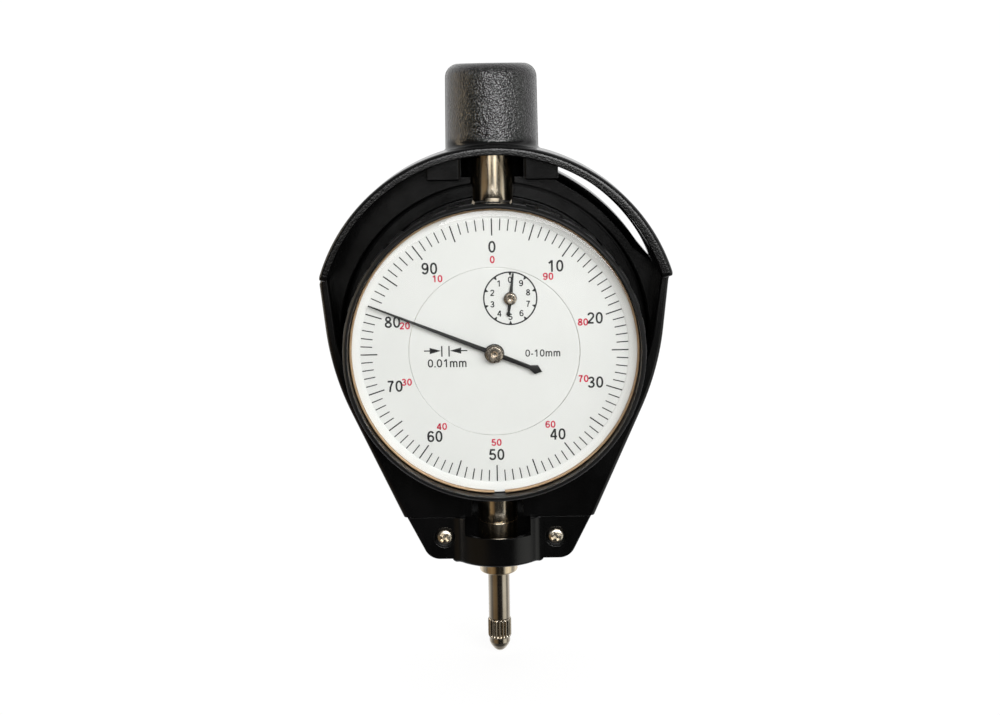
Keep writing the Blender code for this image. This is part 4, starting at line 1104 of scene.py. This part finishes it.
def dial_plate():
    low, high = DIAL_FRONT - 0.65, PLATE_FRONT
    loops = [circle((0, 0), PLATE_RADIUS, 160), circle((0, 0), 0.9, 40), circle((COUNTER_X, COUNTER_Y), 0.8, 40)]
    plate = sheet("dial_plate_visual", loops, low, high, 0.05)
    rear = depth("dial_plate")[0] - FORWARD
    feet = [facing_bore("foot", at, rear, high - 0.25, 1.0) for at in ((-4.6, 5.4), (-6.4, -4.6))]
    join(plate, *feet)
    face_piece(tidy_normals(plate), "housing", DIAL, "dial_white", "dial_plate")


# ---------------------------------------------------------------- printing

STROKE = 0.080
DIGIT_ADVANCE = 0.775


def oval(cx, cy, rx, ry, start, end, steps=22, square=2.25):
    """Part of a slightly squared oval."""
    points = []
    for i in range(steps + 1):
        a = math.radians(start + (end - start) * i / steps)
        c, s = math.cos(a), math.sin(a)
        points.append(
            (
                cx + rx * math.copysign(abs(c) ** (2 / square), c),
                cy + ry * math.copysign(abs(s) ** (2 / square), s),
            )
        )
    return points


def glyph(mark):
    """(strokes, advance) of a character, for a cap height of one. A stroke is (points, closed)."""
    t = STROKE
    wide = DIGIT_ADVANCE
    if mark == "0":
        return [(oval(0.385, 0.5, 0.245, 0.5 - t, 0, 360, 40)[:-1], True)], wide
    if mark == "1":
        return [
            ([(0.145, 0.735), (0.255, 0.79), (0.36, 0.875), (0.42, 0.965)], False),
            ([(0.44, 0.0), (0.44, 0.99)], False),
        ], wide
    if mark == "2":
        top = oval(0.385, 0.70, 0.235, 0.30 - t, 172, -28, 22, 2.1)
        return [(top + [(0.50, 0.46), (0.36, 0.32), (0.21, 0.19), (0.135, 0.09), (0.135, t)], False),
                ([(0.09, t), (0.64, t)], False)], wide
    if mark == "3":
        upper = oval(0.37, 0.735, 0.205, 0.265 - t, 165, -80, 22, 2.1)
        lower = oval(0.365, 0.285, 0.245, 0.285 - t, 92, -165, 24, 2.1)
        return [(upper + [(0.33, 0.535)], False), ([(0.33, 0.535)] + lower, False)], wide
    if mark == "4":
        return [
            ([(0.52, 0.0), (0.52, 0.97)], False),
            ([(0.50, 0.955), (0.105, 0.31)], False),
            ([(0.07, 0.285), (0.69, 0.285)], False),
        ], wide
    if mark == "5":
        bowl = oval(0.375, 0.325, 0.255, 0.325 - t, 138, -165, 26, 2.1)
        return [([(0.62, 1 - t), (0.225, 1 - t), (0.155, 0.475)], False), (bowl, False)], wide
    if mark in "69":
        bowl = oval(0.395, 0.32, 0.235, 0.32 - t, 0, 360, 34, 2.15)[:-1]
        back = oval(0.42, 0.5, 0.275, 0.5 - t, 40, 200, 24, 2.2)
        strokes = [(bowl, True), (back, False)]
        if mark == "9":
            strokes = [([(0.77 - x, 1 - y) for x, y in points], shut) for points, shut in strokes]
        return strokes, wide
    if mark == "7":
        return [([(0.105, 1 - t), (0.655, 1 - t)], False),
                ([(0.63, 0.93), (0.48, 0.72), (0.36, 0.42), (0.30, 0.0)], False)], wide
    if mark == "8":
        return [
            (oval(0.385, 0.745, 0.20, 0.255 - t, 0, 360, 30, 2.1)[:-1], True),
            (oval(0.385, 0.275, 0.245, 0.275 - t, 0, 360, 34, 2.1)[:-1], True),
        ], wide
    if mark == "m":
        stem = ([(0.155, 0.0), (0.155, 0.73)], False)
        first = ([(0.155, 0.42), *oval(0.345, 0.49, 0.185, 0.19, 170, 0, 12), (0.53, 0.0)], False)
        second = ([(0.53, 0.42), *oval(0.72, 0.49, 0.185, 0.19, 170, 0, 12), (0.905, 0.0)], False)
        return [stem, first, second], 1.08
    if mark == ".":
        return [([(0.14, 0.0), (0.14, 2 * t)], False)], 0.30
    return [([(0.05, 0.36), (0.35, 0.36)], False)], 0.42


def stroke_mesh(bm, points, shut, half, low, high, place=dial_point):
    """A raised line of constant width along the points."""
    count = len(points)
    rows = []
    for i, point in enumerate(points):
        here = Vector(point)
        if shut:
            before, after = Vector(points[i - 1]), Vector(points[(i + 1) % count])
        else:
            before = Vector(points[max(0, i - 1)])
            after = Vector(points[min(count - 1, i + 1)])
        one = here - before
        two = after - here
        if one.length < 1e-9:
            one = two
        if two.length < 1e-9:
            two = one
        one.normalize()
        two.normalize()
        normal = Vector((-one.y - two.y, one.x + two.x)).normalized()
        reach = half / max(0.5, normal.dot(Vector((-one.y, one.x))))
        left, right = here + normal * reach, here - normal * reach
        rows.append([
            bm.verts.new(place(left.x, left.y, low)),
            bm.verts.new(place(left.x, left.y, high)),
            bm.verts.new(place(right.x, right.y, high)),
            bm.verts.new(place(right.x, right.y, low)),
        ])
    pairs = list(zip(rows, rows[1:]))
    if shut:
        pairs.append((rows[-1], rows[0]))
    for first, second in pairs:
        for k in range(4):
            j = (k + 1) % 4
            bm.faces.new((first[k], first[j], second[j], second[k]))
    if not shut:
        bm.faces.new(list(reversed(rows[0])))
        bm.faces.new(rows[-1])


def write(bm, text, centre, height, low, turn=0.0, thick=0.02, squeeze=1.0, weight=1.0):
    """Raised lettering, centred on a point and turned about the dial's centre."""
    parts = [glyph(mark) for mark in text]
    total = sum(advance for _, advance in parts)
    x = -total / 2
    c, s = math.cos(turn), math.sin(turn)
    for strokes, advance in parts:
        for points, shut in strokes:
            spots = []
            for px, py in points:
                u = centre[0] + (x + px) * height * squeeze
                v = centre[1] + (py - 0.5) * height
                spots.append((u * c - v * s, u * s + v * c))
            stroke_mesh(bm, spots, shut, STROKE * height * weight, low, low + thick)
        x += advance


def polar(radius, clockwise_degrees):
    a = math.radians(90.0 - clockwise_degrees)
    return radius * math.cos(a), radius * math.sin(a)


def printed(name, bm, body, look):
    obj = from_bmesh(name, bm, 40.0)
    return face_piece(obj, body, look, "dial_white")


def ring_print():
    """The turning ring's graduations, its black numerals and the red ones that count back."""
    tilt = 0.38
    black = bmesh.new()
    low = DIAL_FRONT - 0.004
    outer = 25.85
    for i in range(100):
        long_mark = i % 5 == 0
        inner = outer - (3.25 if long_mark else 2.25)
        half = 0.125 if long_mark else 0.105
        a, b = polar(inner, i * 3.6 - tilt), polar(outer, i * 3.6 - tilt)
        stroke_mesh(black, [a, b], False, half, low, low + 0.022)
    red = bmesh.new()
    turn = math.radians(tilt)
    for k in range(10):
        number = str(k * 10)
        write(black, number, polar(20.45, k * 36.0), 2.26, low, turn, squeeze=0.92)
        other = str((10 - k) % 10 * 10)
        write(red, other, polar(18.0, k * 36.0), 1.36, low, turn, weight=1.25)
    printed("dial_graduations", black, "bezel_assembly", BLACK_INK)
    printed("dial_red_numerals", red, "bezel_assembly", RED_INK)


def plate_print():
    """The revolution counter's scale, the reading of one division and the range."""
    black = bmesh.new()
    low = PLATE_FRONT - 0.004
    centre = (COUNTER_X, COUNTER_Y)
    rim = circle(centre, 5.07, 90)
    stroke_mesh(black, rim, True, 0.14, low, low + 0.022)
    for i in range(10):
        angle = math.radians(90.0 + 36.0 * i)
        out = Vector((math.cos(angle), math.sin(angle)))
        side = Vector((-out.y, out.x))
        base = Vector(centre) + out * 5.0
        tip = Vector(centre) + out * 4.42
        wedge = [base + side * 0.32, base - side * 0.32, tip - side * 0.06, tip + side * 0.06]
        rows = [[black.verts.new(dial_point(p.x, p.y, h)) for p in wedge] for h in (low, low + 0.022)]
        for k in range(4):
            j = (k + 1) % 4
            black.faces.new((rows[0][k], rows[0][j], rows[1][j], rows[1][k]))
        black.faces.new(list(reversed(rows[0])))
        black.faces.new(rows[1])
        spot = Vector(centre) + out * 3.6
        write(black, str(i), (spot.x, spot.y), 1.2, low, weight=1.1)
    write(black, "0.01mm", (-9.15, -2.05), 1.62, low)
    write(black, "0-10mm", (9.35, -0.3), 1.42, low)
    for x in (-10.15, -8.75):
        stroke_mesh(black, [(x, -0.75), (x, 1.35)], False, 0.13, low, low + 0.022)
    for tail, head in ((-13.6, -10.3), (-5.2, -8.6)):
        way = math.copysign(1.0, head - tail)
        y = 0.4
        stroke_mesh(black, [(tail, y), (head - way * 1.0, y)], False, 0.12, low, low + 0.022)
        rows = []
        corners = [(head, y), (head - way * 2.2, y + 0.62), (head - way * 2.2, y - 0.62)]
        for h in (low, low + 0.022):
            rows.append([black.verts.new(dial_point(px, py, h)) for px, py in corners])
        for k in range(3):
            j = (k + 1) % 3
            black.faces.new((rows[0][k], rows[0][j], rows[1][j], rows[1][k]))
        black.faces.new(list(reversed(rows[0])))
        black.faces.new(rows[1])
    printed("plate_markings", black, "housing", BLACK_INK)


# ---------------------------------------------------------------- pointers


def needle_outline(length, tail, root_half, tip_half, eye, tail_half):
    """A tapering needle pointing up, with a round eye and a kite-shaped tail, clockwise."""
    spread = math.degrees(math.asin(root_half / eye))
    right = arc((0.0, 0.0), eye, 90.0 - spread, -90.0 + spread, 24)
    kite = rounded(
        [(root_half * 0.8, -eye - 0.3), (tail_half * 0.42, -tail * 0.74), (tail_half, -tail * 0.88), (0.0, -tail)],
        [0, 0.3, 0.25, 0], 4, closed=False,
    )[1:]
    return mirrored([(0.0, length + tip_half * 0.6), (tip_half, length), *right, *kite])


def turned_about(obj, centre, angle):
    spin = (
        Matrix.Translation(dial_point(*centre, 0.0))
        @ Matrix.Rotation(-angle, 4, "Y")
        @ Matrix.Translation(-dial_point(*centre, 0.0))
    )
    obj.data.transform(spin)
    return obj


def pointers():
    low, high = depth("main_pointer")
    rest = math.radians(68.1)
    outline = needle_outline(25.8, 9.85, 0.44, 0.13, 1.9, 0.92)
    needle = sheet("main_pointer_visual", [outline, circle((0, 0), 1.15, 40)], low, high, 0.05)
    turned_about(needle, (0.0, 0.0), rest)
    face_piece(needle, "pointer_assembly", POINTER, "pointer_black", "main_pointer")
    rear, front = depth("main_pointer_hub")
    bore = depth("centre_pinion")[1] + 0.1 - FORWARD
    hub = [
        (0.0, front - 0.3), (0.45, front - 0.24), (0.6, front), (1.38, front), (1.73, front - 0.25), (1.73, 14.6),
        (1.1, 14.6), (1.1, rear), (0.75, rear), (0.75, rear - FORWARD), (0.5, rear - FORWARD), (0.5, bore), (0.0, bore),
    ]
    radii = [0, 0.05, 0.06, 0.12, 0.12, 0.1, 0.03, 0.08, 0.03, 0.03, 0.03, 0.03, 0]
    hub = revolve("main_pointer_hub_visual", rounded(hub, radii, 5, closed=False), steps=72)
    face_piece(hub, "pointer_assembly", HUB, "warm_nickel", "main_pointer_hub")

    centre = (COUNTER_X, COUNTER_Y)
    low, high = depth("counter_pointer")
    outline = needle_outline(4.9, 3.5, 0.33, 0.15, 1.25, 0.5)
    outline = [(x + centre[0], y + centre[1]) for x, y in outline]
    needle = sheet("counter_pointer_visual", [outline, circle(centre, 0.75, 32)], low, high, 0.03)
    turned_about(needle, centre, -rest / 10)
    face_piece(needle, "counter_assembly", POINTER, "pointer_black", "counter_pointer")
    rear, front = depth("counter_pointer_hub")
    bore = depth("counter_arbor")[1] + 0.1 - FORWARD
    hub = [
        (0.0, front - 0.2), (0.35, front - 0.16), (0.45, front), (0.95, front), (1.2, front - 0.15), (1.2, 13.4),
        (0.65, 13.4), (0.65, rear - FORWARD), (0.5, rear - FORWARD), (0.5, bore), (0.0, bore),
    ]
    radii = [0, 0.04, 0.05, 0.08, 0.06, 0.04, 0.02, 0.03, 0.02, 0.02, 0]
    hub = revolve("counter_pointer_hub_visual", rounded(hub, radii, 4, closed=False), centre, steps=56)
    face_piece(hub, "counter_assembly", HUB, "warm_nickel", "counter_pointer_hub")


def carried_over():
    """Materials for the CAD nodes that are shown as they are."""
    looks = {"brass": BRASS, "steel": INNER_STEEL, "ruby": RUBY, "spring_steel": WIRE, "case_black": CASE}
    slots = {row["node"]: row["material_slot"] for row in frame["record"]["subparts"]}
    for name, obj in NODES.items():
        if obj.hide_render:
            continue
        look = looks.get(slots[name], INNER_STEEL)
        obj.data.materials.clear()
        obj.data.materials.append(look)


# ---------------------------------------------------------------- studio


def area_light(name, place, aim, size, power, colour=(1.0, 1.0, 1.0)):
    light = bpy.data.lights.new(name, "AREA")
    light.shape = "RECTANGLE"
    light.size, light.size_y = size
    light.energy = power
    light.color = colour
    obj = bpy.data.objects.new(name, light)
    obj.location = place
    obj.rotation_mode = "QUATERNION"
    obj.rotation_quaternion = (Vector(aim) - Vector(place)).to_track_quat("-Z", "Y")
    obj.visible_camera = False
    bpy.context.scene.collection.objects.link(obj)
    return obj


def studio():
    middle = (0.0, 0.0, DIAL_Z * MM)
    area_light("front_panel", (0.17, -0.67, 0.34), middle, (0.66, 0.27), 6.0)
    area_light("left_strip", (-0.62, 0.02, 0.13), middle, (0.14, 0.55), 1.1, (1.0, 0.82, 0.58))
    area_light("right_strip", (0.60, 0.06, 0.20), middle, (0.16, 0.60), 0.2)
    area_light("cap_panel", (0.22, -0.69, 0.175), (0.0, 0.0, 0.115), (1.5, 0.11), 1.8)
    area_light("top_panel", (0.05, 0.10, 0.80), middle, (0.60, 0.50), 0.2)

    world = bpy.data.worlds.new("studio")
    bpy.context.scene.world = world
    world.use_nodes = True
    tree = world.node_tree
    tree.nodes.clear()
    add = tree.nodes.new
    link = tree.links.new
    coordinates = add("ShaderNodeTexCoord")
    split = add("ShaderNodeSeparateXYZ")
    link(coordinates.outputs["Generated"], split.inputs[0])

    def graded(socket, low, high, stops):
        spread = add("ShaderNodeMapRange")
        spread.inputs["From Min"].default_value = low
        spread.inputs["From Max"].default_value = high
        link(split.outputs[socket], spread.inputs["Value"])
        ramp = add("ShaderNodeValToRGB")
        ramp.color_ramp.interpolation = "EASE"
        marks = ramp.color_ramp.elements
        while len(marks) < len(stops):
            marks.new(0.5)
        for mark, (position, level) in zip(marks, stops):
            mark.position = position
            mark.color = (level, level, level, 1.0)
        link(spread.outputs["Result"], ramp.inputs["Fac"])
        return ramp.outputs["Color"]

    # dim in front of the object, where its flat faces look, and pale at its sides and behind it
    around_it = graded("Y", -1.0, 1.0, [(0.0, 0.008), (0.2, 0.015), (0.38, 0.09), (0.58, 0.36), (0.8, 0.95)])
    above_it = graded("Z", -0.35, 0.5, [(0.0, 0.0), (0.4, 0.02), (1.0, 0.12)])
    total = add("ShaderNodeMix")
    total.data_type = "RGBA"
    total.blend_type = "ADD"
    total.inputs[0].default_value = 1.0
    link(around_it, total.inputs[6])
    link(above_it, total.inputs[7])
    light = total.outputs[2]

    def glow(light, turn, rise, inner, outer, colour):
        """Adds a soft round patch, turn degrees to the right of the front and rise degrees up."""
        turn, rise = math.radians(turn), math.radians(rise)
        dot = add("ShaderNodeVectorMath")
        dot.operation = "DOT_PRODUCT"
        link(coordinates.outputs["Generated"], dot.inputs[0])
        dot.inputs[1].default_value = (
            math.sin(turn) * math.cos(rise), -math.cos(turn) * math.cos(rise), math.sin(rise)
        )
        fade = add("ShaderNodeMapRange")
        fade.interpolation_type = "SMOOTHSTEP"
        fade.inputs["From Min"].default_value = math.cos(math.radians(outer))
        fade.inputs["From Max"].default_value = math.cos(math.radians(inner))
        link(dot.outputs["Value"], fade.inputs["Value"])
        mix = add("ShaderNodeMix")
        mix.data_type = "RGBA"
        mix.blend_type = "ADD"
        link(fade.outputs["Result"], mix.inputs[0])
        link(light, mix.inputs[6])
        mix.inputs[7].default_value = (*colour, 1.0)
        return mix.outputs[2]

    light = glow(light, 16.0, -2.0, 3.0, 10.0, (1.7, 1.7, 1.65))
    light = glow(light, -14.0, -2.0, 2.0, 8.0, (1.2, 1.15, 1.05))
    light = glow(light, 62.0, -27.0, 8.0, 27.0, (1.0, 1.0, 0.94))
    light = glow(light, -48.0, -27.0, 6.0, 32.0, (0.25, 0.18, 0.10))
    around = add("ShaderNodeBackground")
    link(light, around.inputs["Color"])
    around.inputs["Strength"].default_value = 1.0
    backdrop = add("ShaderNodeBackground")
    backdrop.inputs["Color"].default_value = (1.0, 1.0, 1.0, 1.0)
    backdrop.inputs["Strength"].default_value = 1.02
    path = add("ShaderNodeLightPath")
    mix = add("ShaderNodeMixShader")
    out = add("ShaderNodeOutputWorld")
    link(path.outputs["Is Camera Ray"], mix.inputs[0])
    link(around.outputs[0], mix.inputs[1])
    link(backdrop.outputs[0], mix.inputs[2])
    link(mix.outputs[0], out.inputs["Surface"])

    bm = bmesh.new()
    bmesh.ops.create_grid(bm, x_segments=8, y_segments=8, size=3.0)
    bmesh.ops.translate(bm, verts=bm.verts, vec=(0.0, 0.0, -0.0012))
    floor = from_bmesh("floor", bm)
    look = Look("pale_floor", (0.93, 0.93, 0.93), 0.7)
    look.drive(
        "Base Color", look.mixed(look.noise(14.0, 3.0), (0.925, 0.925, 0.925), (0.94, 0.94, 0.94))
    )
    look.set("Specular IOR Level", 0.1)
    distance = look.node("ShaderNodeVectorMath", operation="LENGTH")
    look.link(look.place, distance.inputs[0])
    far = look.spread(distance.outputs["Value"], 0.004, 0.05, 0.85, 1.0)
    seen = look.maths("MULTIPLY", far, look.node("ShaderNodeLightPath").outputs["Is Camera Ray"])
    white = look.node("ShaderNodeEmission")
    white.inputs["Strength"].default_value = 1.02
    mix = look.node("ShaderNodeMixShader")
    look.link(seen, mix.inputs[0])
    look.link(look.shader.outputs[0], mix.inputs[1])
    look.link(white.outputs[0], mix.inputs[2])
    look.link(mix.outputs[0], look.tree.nodes["Material Output"].inputs["Surface"])
    floor.data.materials.append(look.made)
    floor.visible_glossy = False
    floor.visible_diffuse = False
    floor.visible_shadow = False


def camera():
    """The viewing angle: a little above the dial and a little to its right, from 26 cm."""
    rise, yaw, roll = math.radians(11.5), math.radians(0.6), math.radians(0.95)
    aim = Vector((0.0, -13.0, DIAL_Z)) * MM
    towards = Vector((-math.sin(yaw) * math.cos(rise), math.cos(yaw) * math.cos(rise), -math.sin(rise)))
    data = bpy.data.cameras.new("camera")
    data.sensor_width = 36.0
    data.lens = 48.5
    data.shift_x = 0.0055
    data.shift_y = -0.0075
    data.clip_start = 0.01
    data.clip_end = 20.0
    obj = bpy.data.objects.new("camera", data)
    obj.location = aim - towards * 0.262
    obj.rotation_mode = "QUATERNION"
    obj.rotation_quaternion = towards.to_track_quat("-Z", "Y") @ Matrix.Rotation(-roll, 4, "Z").to_quaternion()
    bpy.context.scene.collection.objects.link(obj)
    bpy.context.scene.camera = obj


bpy.context.scene.view_settings.view_transform = "Standard"
front_frame()
rear_shell()
base_clamp()
guard_fasteners()
case_and_tubes()
spindle_parts()
contact_point()
bezel_parts()
dial_plate()
ring_print()
plate_print()
pointers()
carried_over()
studio()
camera()

bpy.context.view_layer.update()
